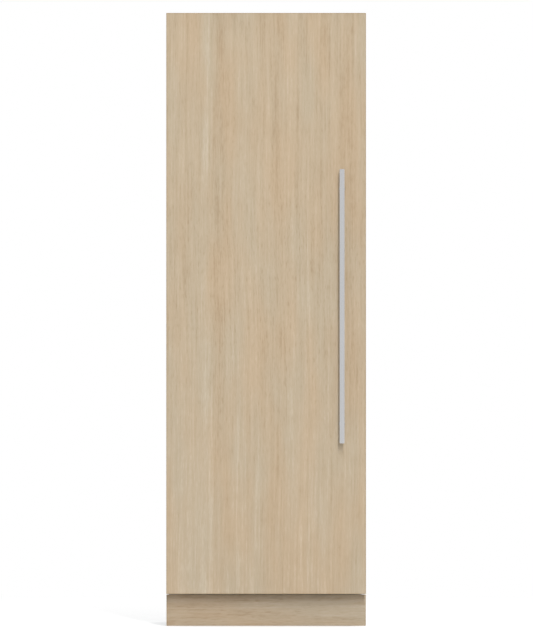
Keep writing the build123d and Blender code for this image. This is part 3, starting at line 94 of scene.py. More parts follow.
# The edging strip's darker line, with painted shade of the eased edge: its width, how far in it fades out,
# and how strong it is
EDGE_LINE_AND_SHADE = 1.5 * MM
EDGE_LINE_AND_SHADE_FADE = 4.0 * MM
EDGE_LINE_AND_SHADE_SHARE = 0.42


def oak_veneer(name, turn, half_width, low, high, cool="#FBFEFF", warm="#FFFBF6"):
    """Quarter-cut oak veneer, slip-matched and lacquered matt: straight fine grain over soft clouds."""
    material, tree, place = new_material(name)
    turned = add(tree, "ShaderNodeMapping", {"Vector": place, "Rotation": turn})
    across = add(tree, "ShaderNodeSeparateXYZ", {0: turned})
    deep, along = across.node.outputs["Y"], across.node.outputs["Z"]
    # Each leaf repeats its neighbour's figure with a slow drift, as leaves sliced one after another do
    counted = add(tree, "ShaderNodeMath", {0: across, 1: 1 / LEAF, 2: LEAF_START}, operation="MULTIPLY_ADD")
    leaf = add(tree, "ShaderNodeMath", {0: counted}, operation="FLOOR")
    drift = add(tree, "ShaderNodeMath", {0: leaf, 1: LEAF_CHANGE}, operation="MULTIPLY")
    inside = add(tree, "ShaderNodeMath", {0: counted}, operation="FRACT")
    wander_at = add(tree, "ShaderNodeMapping", {"Vector": turned, "Scale": (2.0, 2.0, 1.6)})
    wander = add(tree, "ShaderNodeTexNoise", {"Vector": wander_at, "Scale": 1.0, "Detail": 1.0})
    swung = add(tree, "ShaderNodeMath", {0: wander, 1: LEAF_WANDER, 2: inside}, operation="MULTIPLY_ADD")
    matched = add(tree, "ShaderNodeCombineXYZ", {0: swung, 1: deep, 2: along})
    # Rings run the board's length; bands and clouds are the slower changes of tone in the log
    rings_at = add(tree, "ShaderNodeMapping", {"Vector": matched, "Scale": (LEAF / RING, 20, 4.5)})
    rings = add(tree, "ShaderNodeTexNoise",
                {"Vector": rings_at, "W": drift, "Scale": 1.0, "Detail": 3.0, "Roughness": 0.6},
                noise_dimensions="4D")
    bands_at = add(tree, "ShaderNodeMapping", {"Vector": matched, "Scale": (LEAF * 30, 4, 0.8)})
    bands = add(tree, "ShaderNodeTexNoise", {"Vector": bands_at, "W": drift, "Scale": 1.0},
                noise_dimensions="4D")
    clouds_at = add(tree, "ShaderNodeMapping", {"Vector": turned, "Scale": (26, 10, 16)})
    clouds = add(tree, "ShaderNodeTexNoise",
                 {"Vector": clouds_at, "Scale": 1.0, "Detail": 3.0, "Roughness": 0.55})
    pores_at = add(tree, "ShaderNodeMapping", {"Vector": turned, "Scale": (1 / PORE, 60, 42)})
    pores = add(tree, "ShaderNodeTexNoise",
                {"Vector": pores_at, "Scale": 1.0, "Detail": 3.0, "Roughness": 0.6})
    # Short darker flecks, thickest round the middle of the board; painted light drifts the tone from end to
    # end
    flecks_at = add(tree, "ShaderNodeMapping", {"Vector": turned, "Scale": (1 / FLECK, 60, 40)})
    flecks = add(tree, "ShaderNodeTexNoise", {"Vector": flecks_at, "Scale": 1.0, "Detail": 1.0})
    flecks = add(tree, "ShaderNodeMapRange", {0: flecks, 1: 0.55, 2: 0.75})
    off = add(tree, "ShaderNodeMath", {0: along, 1: (low + high) / 2}, operation="SUBTRACT")
    painted_light_drift = add(tree, "ShaderNodeMath", {0: off, 1: PAINTED_LIGHT_DRIFT}, operation="MULTIPLY")
    off = add(tree, "ShaderNodeMath", {0: off}, operation="ABSOLUTE")
    zone = add(tree, "ShaderNodeMapRange", {0: off, 1: 0.15, 2: 0.7, 3: -0.2, 4: -0.04})
    tone = add(tree, "ShaderNodeTexWhiteNoise", {"W": leaf}, noise_dimensions="1D")
    # Each pattern moves the shade off the ramp's middle by its weight
    weights = [(bands, 0.42), (clouds, 0.28), (rings, 0.8), (pores, 0.5), (tone, 0.1)]
    shade = 0.5 - 0.5 * sum(weight for _, weight in weights)
    for pattern, weight in weights:
        shade = add(tree, "ShaderNodeMath", {0: pattern, 1: weight, 2: shade}, operation="MULTIPLY_ADD")
    shade = add(tree, "ShaderNodeMath", {0: flecks, 1: zone, 2: shade}, operation="MULTIPLY_ADD")
    # Painted light: the shade is lifted towards the low end of the grain
    shade = add(tree, "ShaderNodeMath", {0: shade, 1: painted_light_drift}, operation="ADD")
    stops = [(0.18, "#AF997D"), (0.42, "#BDAA90"), (0.58, "#C2B097"), (0.82, "#CEBFA9")]
    colour = add(tree, "ShaderNodeValToRGB", {0: shade}, stops=stops)
    # Broad soft bands are a little pinker, and the wood between them greyer
    warmth_at = add(tree, "ShaderNodeMapping", {"Vector": turned, "Scale": (13, 4, 2.4)})
    warmth = add(tree, "ShaderNodeTexNoise", {"Vector": warmth_at, "Scale": 1.0, "Detail": 2.0})
    warmth = add(tree, "ShaderNodeValToRGB", {0: warmth}, stops=[(0.36, cool), (0.64, warm)])
    colour = add(tree, "ShaderNodeMix", {0: 1.0, 6: colour, 7: warmth},
                 out=2, data_type="RGBA", blend_type="MULTIPLY")
    # The edging strip shows as a thin darker line round the board, and painted shade darkens the eased
    # edges beside it
    reach = add(tree, "ShaderNodeMath", {0: across}, operation="ABSOLUTE")
    side = add(tree, "ShaderNodeMath", {0: half_width, 1: reach}, operation="SUBTRACT")
    lower = add(tree, "ShaderNodeMath", {0: along, 1: low}, operation="SUBTRACT")
    upper = add(tree, "ShaderNodeMath", {0: high, 1: along}, operation="SUBTRACT")
    ends = add(tree, "ShaderNodeMath", {0: lower, 1: upper}, operation="MINIMUM")
    rim = add(tree, "ShaderNodeMath", {0: side, 1: ends}, operation="MINIMUM")
    rim = add(tree, "ShaderNodeMapRange", {0: rim, 1: EDGE_LINE_AND_SHADE, 2: EDGE_LINE_AND_SHADE_FADE, 3: EDGE_LINE_AND_SHADE_SHARE, 4: 0.0})
    edge_lined_and_shaded = add(tree, "ShaderNodeMix", {0: rim, 6: colour, 7: hex_colour("#9C845F")},
                out=2, data_type="RGBA")
    sheen = add(tree, "ShaderNodeMapRange", {0: pores, 1: 0.3, 2: 0.7, 3: 0.56, 4: 0.48})
    relief = add(tree, "ShaderNodeBump", {"Height": pores, "Distance": 0.05 * MM})
    shader = add(tree, "ShaderNodeBsdfPrincipled",
                 {"Base Color": edge_lined_and_shaded, "Roughness": sheen, "IOR": 1.47, "Normal": relief})
    add(tree, "ShaderNodeOutputMaterial", {"Surface": shader})
    return material


# Metals
def brushed_stainless():
    """Stainless steel bar, belt-brushed along its length: fine lines that stretch the light across them."""
    material, tree, place = new_material("stainless_belt_brushed")
    # Brush lines are about 0.1 mm apart; drawn 1 mm apart so that they show
    lines_at = add(tree, "ShaderNodeMapping", {"Vector": place, "Scale": (1 / MM, 1 / MM, 6)})
    lines = add(tree, "ShaderNodeTexNoise",
                {"Vector": lines_at, "Scale": 1.0, "Detail": 3.0, "Roughness": 0.6})
    colour = add(tree, "ShaderNodeValToRGB", {0: lines}, stops=[(0.25, "#BDBDBE"), (0.75, "#CBCBCC")])
    rough = add(tree, "ShaderNodeMapRange", {0: lines, 1: 0.3, 2: 0.7, 3: 0.18, 4: 0.26})
    along = add(tree, "ShaderNodeTangent", direction_type="RADIAL", axis="Z")
    relief = add(tree, "ShaderNodeBump", {"Height": lines, "Distance": 0.01 * MM})
    shader = add(tree, "ShaderNodeBsdfPrincipled",
                 {"Base Color": colour, "Metallic": 1.0, "Roughness": rough, "Anisotropic": 0.4,
                  "Tangent": along, "Normal": relief})
    add(tree, "ShaderNodeOutputMaterial", {"Surface": shader})
    return material


def galvanised(name, dark, pale):
    """Hot-dip galvanised sheet: a patchwork of dull zinc crystals about 8 mm across."""
    material, tree, place = new_material(name)
    crystals = add(tree, "ShaderNodeTexVoronoi", {"Vector": place, "Scale": 1 / (8 * MM)}, out="Color")
    shade = add(tree, "ShaderNodeSeparateColor", {0: crystals})
    cloud = add(tree, "ShaderNodeTexNoise", {"Vector": place, "Scale": 9.0, "Detail": 3.0})
    mixed = add(tree, "ShaderNodeMath", {0: cloud, 1: 0.6, 2: shade}, operation="MULTIPLY_ADD")
    colour = add(tree, "ShaderNodeValToRGB", {0: mixed}, stops=[(0.35, dark), (1.0, pale)])
    rough = add(tree, "ShaderNodeMapRange", {0: shade, 3: 0.38, 4: 0.52})
    shader = add(tree, "ShaderNodeBsdfPrincipled",
                 {"Base Color": colour, "Metallic": 0.85, "Roughness": rough})
    add(tree, "ShaderNodeOutputMaterial", {"Surface": shader})
    return material


def zinc_plated():
    """Bright zinc plating on pressed steel: grey with a faint warm and blue cloud."""
    material, tree, place = new_material("zinc_plated_steel")
    cloud = add(tree, "ShaderNodeTexNoise", {"Vector": place, "Scale": 60.0, "Detail": 3.0})
    colour = add(tree, "ShaderNodeValToRGB", {0: cloud},
                 stops=[(0.3, "#9FA3A8"), (0.55, "#B4B5B4"), (0.75, "#BDB9AC")])
    rough = add(tree, "ShaderNodeMapRange", {0: cloud, 1: 0.3, 2: 0.7, 3: 0.24, 4: 0.38})
    shader = add(tree, "ShaderNodeBsdfPrincipled",
                 {"Base Color": colour, "Metallic": 1.0, "Roughness": rough})
    add(tree, "ShaderNodeOutputMaterial", {"Surface": shader})
    return material


def coated_sheet(name, dark, pale):
    """Coil-coated steel sheet: an even paint film with a very fine orange peel, drawn 1.5 mm across."""
    material, tree, place = new_material(name)
    peel = add(tree, "ShaderNodeTexNoise", {"Vector": place, "Scale": 1 / (1.5 * MM), "Detail": 1.0})
    cloud = add(tree, "ShaderNodeTexNoise", {"Vector": place, "Scale": 3.0})
    colour = add(tree, "ShaderNodeValToRGB", {0: cloud}, stops=[(0.3, dark), (0.7, pale)])
    relief = add(tree, "ShaderNodeBump", {"Height": peel, "Distance": 0.03 * MM})
    shader = add(tree, "ShaderNodeBsdfPrincipled",
                 {"Base Color": colour, "IOR": 1.5, "Roughness": 0.42, "Normal": relief})
    add(tree, "ShaderNodeOutputMaterial", {"Surface": shader})
    return material


def black_enamel():
    """Black stoving enamel on the compressor and condenser: satin, a little dusty."""
    material, tree, place = new_material("black_stoving_enamel")
    dust = add(tree, "ShaderNodeTexNoise",
               {"Vector": place, "Scale": 40.0, "Detail": 4.0, "Roughness": 0.6})
    colour = add(tree, "ShaderNodeValToRGB", {0: dust}, stops=[(0.35, "#141414"), (0.75, "#26272A")])
    rough = add(tree, "ShaderNodeMapRange", {0: dust, 1: 0.3, 2: 0.7, 3: 0.28, 4: 0.46})
    relief = add(tree, "ShaderNodeBump", {"Height": dust, "Distance": 0.05 * MM})
    shader = add(tree, "ShaderNodeBsdfPrincipled",
                 {"Base Color": colour, "IOR": 1.5, "Roughness": rough, "Normal": relief})
    add(tree, "ShaderNodeOutputMaterial", {"Surface": shader})
    return material


def copper_pipe():
    """Drawn copper pipe, dulled and darker in patches."""
    material, tree, place = new_material("drawn_copper")
    tarnish = add(tree, "ShaderNodeTexNoise",
                  {"Vector": place, "Scale": 30.0, "Detail": 4.0, "Roughness": 0.6})
    colour = add(tree, "ShaderNodeValToRGB", {0: tarnish},
                 stops=[(0.3, "#7E4A30"), (0.5, "#B87350"), (0.75, "#D08C66")])
    rough = add(tree, "ShaderNodeMapRange", {0: tarnish, 1: 0.3, 2: 0.7, 3: 0.42, 4: 0.25})
    shader = add(tree, "ShaderNodeBsdfPrincipled",
                 {"Base Color": colour, "Metallic": 1.0, "Roughness": rough})
    add(tree, "ShaderNodeOutputMaterial", {"Surface": shader})
    return material


def anodised_trim():
    """Anodised aluminium extrusion: pale, satin, with faint die lines along it."""
    material, tree, place = new_material("anodised_aluminium")
    lines_at = add(tree, "ShaderNodeMapping", {"Vector": place, "Scale": (4, 1 / MM, 1 / MM)})
    lines = add(tree, "ShaderNodeTexNoise", {"Vector": lines_at, "Scale": 1.0})
    colour = add(tree, "ShaderNodeValToRGB", {0: lines}, stops=[(0.3, "#C2C4C6"), (0.7, "#D4D5D6")])
    relief = add(tree, "ShaderNodeBump", {"Height": lines, "Distance": 0.02 * MM})
    shader = add(tree, "ShaderNodeBsdfPrincipled",
                 {"Base Color": colour, "Metallic": 1.0, "Roughness": 0.34, "Normal": relief})
    add(tree, "ShaderNodeOutputMaterial", {"Surface": shader})
    return material


# Plastics, rubber and glass
def moulded(name, dark, pale, rough, grit=0.9, depth=0.02, **more):
    """Moulded or vacuum-formed plastic: an even colour over a fine texture; grit and depth are in mm."""
    material, tree, place = new_material(name)
    grain = add(tree, "ShaderNodeTexNoise", {"Vector": place, "Scale": 1 / (grit * MM)})
    cloud = add(tree, "ShaderNodeTexNoise", {"Vector": place, "Scale": 7.0})
    colour = add(tree, "ShaderNodeValToRGB", {0: cloud}, stops=[(0.3, dark), (0.7, pale)])
    sheen = add(tree, "ShaderNodeMapRange", {0: grain, 1: 0.3, 2: 0.7, 3: rough - 0.05, 4: rough + 0.05})
    relief = add(tree, "ShaderNodeBump", {"Height": grain, "Distance": depth * MM})
    shader = add(tree, "ShaderNodeBsdfPrincipled",
                 {"Base Color": colour, "IOR": 1.5, "Roughness": sheen, "Normal": relief, **more})
    add(tree, "ShaderNodeOutputMaterial", {"Surface": shader})
    return material


def foamed():
    """Polyurethane foam: cream skin with cells a millimetre or two across."""
    material, tree, place = new_material("polyurethane_foam")
    cells = add(tree, "ShaderNodeTexVoronoi", {"Vector": place, "Scale": 1 / (2 * MM)}, out="Distance")
    colour = add(tree, "ShaderNodeValToRGB", {0: cells}, stops=[(0.0, "#C9B177"), (0.6, "#E4D3A1")])
    relief = add(tree, "ShaderNodeBump", {"Height": cells, "Distance": 0.2 * MM})
    shader = add(tree, "ShaderNodeBsdfPrincipled",
                 {"Base Color": colour, "Roughness": 0.85, "Normal": relief})
    add(tree, "ShaderNodeOutputMaterial", {"Surface": shader})
    return material


def clear(name, dark, pale, rough, share, ior):
    """Glass or clear plastic: tinted, with flow marks a few centimetres long; share is what passes."""
    material, tree, place = new_material(name)
    flow = add(tree, "ShaderNodeTexNoise", {"Vector": place, "Scale": 25.0})
    colour = add(tree, "ShaderNodeValToRGB", {0: flow}, stops=[(0.3, dark), (0.7, pale)])
    blur = add(tree, "ShaderNodeMapRange", {0: flow, 1: 0.3, 2: 0.7, 3: rough * 0.8, 4: rough * 1.2})
    shader = add(tree, "ShaderNodeBsdfPrincipled",
                 {"Base Color": colour, "Transmission Weight": share, "IOR": ior, "Roughness": blur})
    add(tree, "ShaderNodeOutputMaterial", {"Surface": shader})
    return material


def circuit_board():
    """Glass-epoxy board with green solder mask and fine tracks."""
    material, tree, place = new_material("solder_mask_green")
    tracks = add(tree, "ShaderNodeTexVoronoi", {"Vector": place, "Scale": 1 / (4 * MM)},
                 out="Distance", distance="MANHATTAN")
    colour = add(tree, "ShaderNodeValToRGB", {0: tracks}, stops=[(0.1, "#0F4A2B"), (0.5, "#1C6B40")])
    shader = add(tree, "ShaderNodeBsdfPrincipled", {"Base Color": colour, "Roughness": 0.35})
    add(tree, "ShaderNodeOutputMaterial", {"Surface": shader})
    return material


# A board's half width runs from its middle line, and low and high are its ends along the grain.
# The plinth's grain lies level, and its colours are drawn a little darker as painted shade for its recess
# under the door
front_low, front_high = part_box("door_panel")
plinth_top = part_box("plinth_board")[1].z
oak_upright = oak_veneer("oak_veneer_upright", (0, 0, 0), front_high.x, front_low.z, front_high.z)
# Darker cool and warm tints: painted shade for the recessed plinth
oak_level = oak_veneer("oak_veneer_level", (0, math.pi / 2, 0), plinth_top, -front_high.x, front_high.x,
                       cool="#F4F8FC", warm="#F8F5F3")
stainless = brushed_stainless()
zinc_sheet = galvanised("galvanised_sheet", "#A1A6A9", "#B6BABC")
plated = zinc_plated()
cabinet_paint = coated_sheet("coil_coated_grey", "#C3C5C6", "#C9CBCC")
door_paint = coated_sheet("coil_coated_white", "#D5D6D7", "#DADBDC")
enamel = black_enamel()
copper = copper_pipe()
trim = anodised_trim()
liner_white = moulded("polystyrene_liner_white", "#DFE2E3", "#E8EAEA", rough=0.36, grit=1.4, depth=0.015)
housing_white = moulded("abs_white", "#E1E3E3", "#E9EBEB", rough=0.32)
grey_abs = moulded("abs_grey", "#8F9396", "#9A9DA0", rough=0.42)
black_pp = moulded("polypropylene_black", "#141415", "#1D1E1F", rough=0.45)
rubber = moulded("nitrile_rubber", "#0F0F10", "#191919", rough=0.7, grit=0.6, depth=0.05)
seal = moulded("soft_pvc_gasket", "#C4C6C7", "#CFD1D2", rough=0.55, grit=0.7)
lens_white = moulded("opal_lens", "#EDEDEA", "#F4F4F2", rough=0.3, **{"Transmission Weight": 0.25})
foam = foamed()
glass = clear("float_glass_toughened", "#D8EBE4", "#E2F1EC", rough=0.03, share=1.0, ior=1.5)
clear_san = clear("san_clear", "#EEF3F5", "#F5F9FA", rough=0.06, share=0.8, ior=1.52)
frosted = clear("polystyrene_frosted", "#E6ECEF", "#F0F4F6", rough=0.4, share=0.3, ior=1.53)
board = circuit_board()

finishes = {
    oak_upright: ["door_panel"],
    oak_level: ["plinth_board"],
    stainless: ["handle_bar", "handle_posts"],
    cabinet_paint: ["outer_wrapper"],
    door_paint: ["door_pan"],
    zinc_sheet: ["rear_panel", "bay_panel", "base_chassis", "fixing_bracket", "panel_brackets"],
    plated: ["foot_sockets", "levelling_foot_left", "levelling_foot_right", "roller_brackets",
             "hinge_bracket_top", "hinge_bracket_bottom"],
    foam: ["foam_core", "door_foam"],
    liner_white: ["inner_liner", "door_liner", "duct_cover", "drawer_runners"],
    housing_white: ["control_housing"],
    grey_abs: ["hinge_cover", "fan_grille", "colder_button", "warmer_button", "power_button"],
    black_pp: ["rear_roller_left", "rear_roller_right", "plinth_clips", "terminal_cover",
               "evaporating_tray", "power_inlet", "condenser_spacers", "fan_blade", "fan_motor",
               "door_bushes"],
    rubber: ["compressor_grommets"],
    enamel: ["compressor_shell", "condenser_tube", "condenser_wires"],
    copper: ["refrigerant_lines"],
    trim: ["shelf_trims", "evaporator_coil"],
    glass: ["glass_shelves"],
    clear_san: ["drawer_front_bottom", "drawer_front_middle", "drawer_front_top",
                "door_bin_1", "door_bin_2", "door_bin_3", "door_bin_4"],
    frosted: ["drawer_tub_bottom", "drawer_tub_middle", "drawer_tub_top"],
    lens_white: ["light_lens"],
    board: ["control_board"],
    seal: ["door_gasket"],
}
for material, names in finishes.items():
    for name in names:
        nodes[name].data.materials.clear()
        nodes[name].data.materials.append(material)


# Small fasteners and marks
def keep(name, shape, material, body):
    """Makes the mesh an object of the model, riding on its body."""
    bmesh.ops.recalc_face_normals(shape, faces=shape.faces)
    mesh = bpy.data.meshes.new(name)
    shape.to_mesh(mesh)
    shape.free()
    mesh.materials.append(material)
    piece = bpy.data.objects.new(name, mesh)
    bpy.context.scene.collection.objects.link(piece)
    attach(piece, body)


def raised_disc(shape, sides, radius, height, ease, steps):
    """A disc or prism on zero with an eased upper rim: the points there were before it, and its crown."""
    before = set(shape.verts)
    rim = bmesh.ops.create_circle(shape, cap_ends=True, segments=sides, radius=radius)["verts"]
    lifted = bmesh.ops.extrude_face_region(shape, geom=[rim[0].link_faces[0]])["geom"]
    points = [g for g in lifted if isinstance(g, bmesh.types.BMVert)]
    bmesh.ops.translate(shape, verts=points, vec=(0, 0, height))
    upper = [g for g in lifted if isinstance(g, bmesh.types.BMFace)][0]
    bmesh.ops.bevel(shape, geom=list(upper.edges), offset=ease, segments=steps, profile=0.5,
                    affect="EDGES", material=-1)
    made = [v for v in shape.verts if v not in before]
    crown = max({f for v in made for f in v.link_faces}, key=lambda f: f.calc_center_median().z)
    return before, crown


# Pan head of a 4 mm screw, with a star recess of six arms
HEAD_SIDES = 24
HEAD_RADIUS = 4.4 * MM
HEAD_HEIGHT = 2.4 * MM
HEAD_EASE = HEAD_HEIGHT * 0.6
STAR_RIM = HEAD_RADIUS * 0.12
STAR_WAIST = 0.72
STAR_DEPTH = HEAD_HEIGHT * 0.55


def screw_head(shape, place, facing):
    """Pan head with a star recess, standing on a face at a place."""
    before, crown = raised_disc(shape, HEAD_SIDES, HEAD_RADIUS, HEAD_HEIGHT, HEAD_EASE, steps=3)
    bmesh.ops.inset_region(shape, faces=[crown], thickness=STAR_RIM)
    centre = crown.calc_center_median()
    # Two corners out of four move in, which leaves the star's arms
    for i, corner in enumerate(crown.verts):
        if i % 4 in (0, 1):
            corner.co = centre + (corner.co - centre) * STAR_WAIST
    sunk = bmesh.ops.extrude_face_region(shape, geom=[crown, *crown.edges])["geom"]
    points = [g for g in sunk if isinstance(g, bmesh.types.BMVert)]
    bmesh.ops.translate(shape, verts=points, vec=(0, 0, -STAR_DEPTH))
    turned = Vector((0, 0, 1)).rotation_difference(Vector(facing)).to_matrix().to_4x4()
    made = [v for v in shape.verts if v not in before]
    bmesh.ops.transform(shape, matrix=Matrix.Translation(place) @ turned, verts=made)


def screws(name, places, facing, body):
    """A set of like screws in one piece, on one body."""
    shape = bmesh.new()
    for place in places:
        screw_head(shape, place, facing)
    keep(name, shape, plated, body)


# Lower hinge angle: its plate, and its screw holes counted from its left and lower edges
ANGLE_PLATE = 5 * MM
ANGLE_HOLES_X = (15.5 * MM, 46.5 * MM)
ANGLE_HOLES_Z = (12.5 * MM, 25 * MM)
# Strips on the cabinet and on the door: their sheet, and a row of four holes on each
STRIP_SHEET = 2 * MM
ROW_CENTRE = 20 * MM
ROW_INSET = 16 * MM
ROW_STEPS = (-1.5, -0.5, 0.5, 1.5)
CABINET_PITCH = 135 * MM
DOOR_PITCH = 120 * MM

angle_low, angle_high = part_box("hinge_bracket_bottom")
angle_y = angle_high.y - ANGLE_PLATE
angle_places = [(angle_low.x + x, angle_y, angle_low.z + z) for x in ANGLE_HOLES_X for z in ANGLE_HOLES_Z]
screws("hinge_angle_screws", angle_places, (0, -1, 0), "cabinet")
strip_low, strip_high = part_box("fixing_bracket")
strip_y = strip_high.y - ROW_INSET
strip_z = strip_low.z + STRIP_SHEET
strip_places = [(ROW_CENTRE + CABINET_PITCH * i, strip_y, strip_z) for i in ROW_STEPS]
screws("fixing_strip_screws", strip_places, (0, 0, 1), "cabinet")
door_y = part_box("panel_brackets")[0].y + ROW_INSET
door_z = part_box("door_pan")[1].z + STRIP_SHEET
door_places = [(ROW_CENTRE + DOOR_PITCH * i, door_y, door_z) for i in ROW_STEPS]
screws("front_bracket_screws", door_places, (0, 0, 1), "door")

# Hexagon nuts hold the compressor's feet down on their eight-sided grommets
NUT_SIDES = 6
NUT_FLATS = 10 * MM
NUT_HEIGHT = 5 * MM
NUT_EASE = 0.7 * MM
GROMMET_RADIUS = 11 * MM
nuts = bmesh.new()
grommet_low, grommet_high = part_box("compressor_grommets")
grommet_reach = GROMMET_RADIUS * math.cos(math.pi / 8)
for x in (grommet_low.x + grommet_reach, grommet_high.x - grommet_reach):
    for y in (grommet_low.y + grommet_reach, grommet_high.y - grommet_reach):
        known, _ = raised_disc(nuts, NUT_SIDES, NUT_FLATS / math.sqrt(3), NUT_HEIGHT, NUT_EASE, steps=2)
        added = [v for v in nuts.verts if v not in known]
        bmesh.ops.translate(nuts, verts=added, vec=(x, y, grommet_high.z))
keep("compressor_nuts", nuts, plated, "cabinet")


# Marks on the buttons, in millimetres: a bar's length, a line's breadth and how thick it is
MARK_LENGTH = 6
MARK_LINE = 1.1
MARK_THICK = 0.3
# The power mark: its ring's radius, the ring's opening at the top in degrees, and the bar that stands there
MARK_RING = 2.6
MARK_OPENING = 80
MARK_STEPS = 24
POWER_BAR_UP = 2.2
POWER_BAR_LENGTH = 3.4


def button_mark(node, body, strokes, ring=0.0):
    """Raised mark on a button's face: bars as (across, up, width, height), and a ring of a radius."""
    low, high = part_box(node)
    shape = bmesh.new()
    for across, up, width, height in strokes:
        bar = bmesh.ops.create_cube(shape, size=1.0)["verts"]
        bmesh.ops.scale(shape, vec=(width, MARK_THICK, height), verts=bar)
        bmesh.ops.translate(shape, vec=(across, 0, up), verts=bar)
    if ring:
        arc = bmesh.ops.create_grid(shape, x_segments=1, y_segments=1, size=0.5)["verts"]
        bmesh.ops.scale(shape, vec=(MARK_LINE, MARK_THICK, 1), verts=arc)
        bmesh.ops.translate(shape, vec=(ring, 0, 0), verts=arc)
        start = math.radians(MARK_OPENING / 2 - 90)
        bmesh.ops.rotate(shape, matrix=Matrix.Rotation(start, 3, "Y"), verts=arc)
        end = arc[0].link_faces[0]
        run = math.radians(360 - MARK_OPENING)
        bmesh.ops.spin(shape, geom=[end, *end.edges, *end.verts], axis=(0, 1, 0), angle=run,
                       steps=MARK_STEPS)
    bmesh.ops.scale(shape, vec=(MM, MM, MM), verts=shape.verts)
    bmesh.ops.translate(shape, vec=((low.x + high.x) / 2, low.y, (low.z + high.z) / 2), verts=shape.verts)
    keep(node + "_mark", shape, black_pp, body)


level_bar = (0, 0, MARK_LENGTH, MARK_LINE)
arm = (MARK_LENGTH - MARK_LINE) / 2
arm_centre = (MARK_LENGTH + MARK_LINE) / 4
upper_arm = (0, arm_centre, MARK_LINE, arm)
lower_arm = (0, -arm_centre, MARK_LINE, arm)
power_bar = (0, POWER_BAR_UP, MARK_LINE, POWER_BAR_LENGTH)
button_mark("colder_button", "button_colder", [level_bar])
button_mark("warmer_button", "button_warmer", [level_bar, upper_arm, lower_arm])
button_mark("power_button", "button_power", [power_bar], ring=MARK_RING)


# Stage, lamps and camera
# Share of the white surroundings that lights matt surfaces
SKY = 0.36
# What the floor adds to itself for the eye, so that it reads white
FLOOR_LIFT = 0.46
# Distances from the object between which the floor runs into the surroundings, and the floor's end
FLOOR_FADE_START = 0.9
FLOOR_FADE_END = 3.2
FLOOR_REACH = 60
# Lamps stand so far off that the light falls evenly from top to bottom, and point at its middle
LAMP_DISTANCE = 20
LAMP_AIM = Vector((0, -0.25, 0.95))
# The photograph's frame: size of a pixel on the wood front, height in pixels, and middle
PIXEL = 3.0546 * MM
FRAME_HEIGHT = 639
FRAME_X = 1.1 * MM
FRAME_Z = 938.6 * MM


def seen_rays(tree):
    """1 for rays from the camera, from a gloss and through glass, and 0 for the rest."""
    seen = add(tree, "ShaderNodeLightPath", out="Is Camera Ray")
    for kind in ("Is Glossy Ray", "Is Transmission Ray"):
        other = add(tree, "ShaderNodeLightPath", out=kind)
        seen = add(tree, "ShaderNodeMath", {0: seen, 1: other}, operation="MAXIMUM")
    return seen


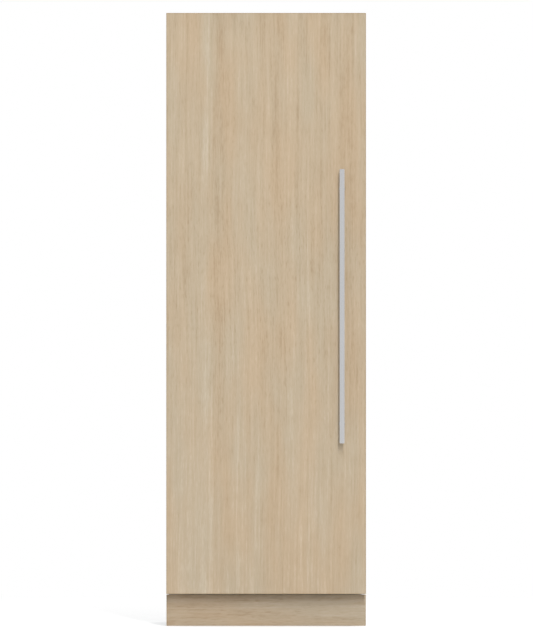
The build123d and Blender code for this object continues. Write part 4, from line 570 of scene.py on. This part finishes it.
def studio():
    """Pale floor and white surroundings."""
    scene = bpy.context.scene
    scene.view_settings.view_transform = "Standard"
    world = bpy.data.worlds.new("studio_surroundings")
    world.use_nodes = True
    scene.world = world
    tree = world.node_tree
    tree.nodes.clear()
    white = hex_colour("#FFFFFF")
    seen = seen_rays(tree)
    soft = add(tree, "ShaderNodeBackground", {"Color": white, "Strength": SKY})
    plain = add(tree, "ShaderNodeBackground", {"Color": white, "Strength": 1.0})
    both = add(tree, "ShaderNodeMixShader", {0: seen, 1: soft, 2: plain})
    add(tree, "ShaderNodeOutputWorld", {"Surface": both})

    material, tree, place = new_material("studio_floor_white")
    seen = seen_rays(tree)
    matt = add(tree, "ShaderNodeBsdfDiffuse", {"Color": hex_colour("#F6F6F6")})
    lifted = add(tree, "ShaderNodeMath", {0: seen, 1: FLOOR_LIFT}, operation="MULTIPLY")
    lift = add(tree, "ShaderNodeEmission", {"Color": white, "Strength": lifted})
    lit = add(tree, "ShaderNodeAddShader", {0: matt, 1: lift})
    # Away from the object the floor runs into the white surroundings
    plain = add(tree, "ShaderNodeEmission", {"Color": white, "Strength": 1.0})
    reach = add(tree, "ShaderNodeVectorMath", {0: place}, out="Value", operation="LENGTH")
    far = add(tree, "ShaderNodeMapRange",
              {0: reach, 1: FLOOR_FADE_START, 2: FLOOR_FADE_END, 3: 0.0, 4: 1.0},
              interpolation_type="SMOOTHSTEP")
    share = add(tree, "ShaderNodeMath", {0: seen, 1: far}, operation="MULTIPLY")
    blend = add(tree, "ShaderNodeMixShader", {0: share, 1: lit, 2: plain})
    add(tree, "ShaderNodeOutputMaterial", {"Surface": blend})
    shape = bmesh.new()
    bmesh.ops.create_grid(shape, x_segments=1, y_segments=1, size=FLOOR_REACH)
    mesh = bpy.data.meshes.new("studio_floor")
    shape.to_mesh(mesh)
    shape.free()
    mesh.materials.append(material)
    floor = bpy.data.objects.new("studio_floor", mesh)
    scene.collection.objects.link(floor)


def lamp(name, azimuth, elevation, width, height, power, mirrored=True):
    """Soft lamp far off: azimuth 0 in front, 90 on the right; metal shows it only if it is mirrored."""
    a, e = math.radians(azimuth), math.radians(elevation)
    away = Vector((math.sin(a) * math.cos(e), -math.cos(a) * math.cos(e), math.sin(e)))
    light = bpy.data.lights.new(name, "AREA")
    light.shape = "RECTANGLE"
    light.size, light.size_y = width, height
    light.energy = power
    made = bpy.data.objects.new(name, light)
    made.location = LAMP_AIM + away * LAMP_DISTANCE
    made.rotation_mode = "QUATERNION"
    made.rotation_quaternion = (-away).to_track_quat("-Z", "Y")
    made.visible_glossy = mirrored
    bpy.context.scene.collection.objects.link(made)


def camera():
    """Long lens straight in front, at the distance that gives the photograph's scale."""
    data = bpy.data.cameras.new("front_camera")
    data.lens = 600
    data.sensor_width = 36
    distance = data.lens / data.sensor_width * PIXEL * FRAME_HEIGHT
    data.clip_start, data.clip_end = 1, 200
    made = bpy.data.objects.new("front_camera", data)
    made.location = (FRAME_X, front_low.y - distance, FRAME_Z)
    made.rotation_euler = (math.pi / 2, 0, 0)
    bpy.context.scene.collection.objects.link(made)
    bpy.context.scene.camera = made


studio()
camera()
lamp("key_strip_softbox", azimuth=8, elevation=25, width=1.3, height=13, power=2380, mirrored=False)
lamp("overhead_softbox", azimuth=5, elevation=50, width=8, height=8, power=70)
lamp("left_fill", azimuth=-60, elevation=8, width=8, height=8, power=140)
lamp("rear_softbox", azimuth=160, elevation=30, width=8, height=8, power=960)
lamp("rear_fill", azimuth=230, elevation=15, width=8, height=8, power=720)
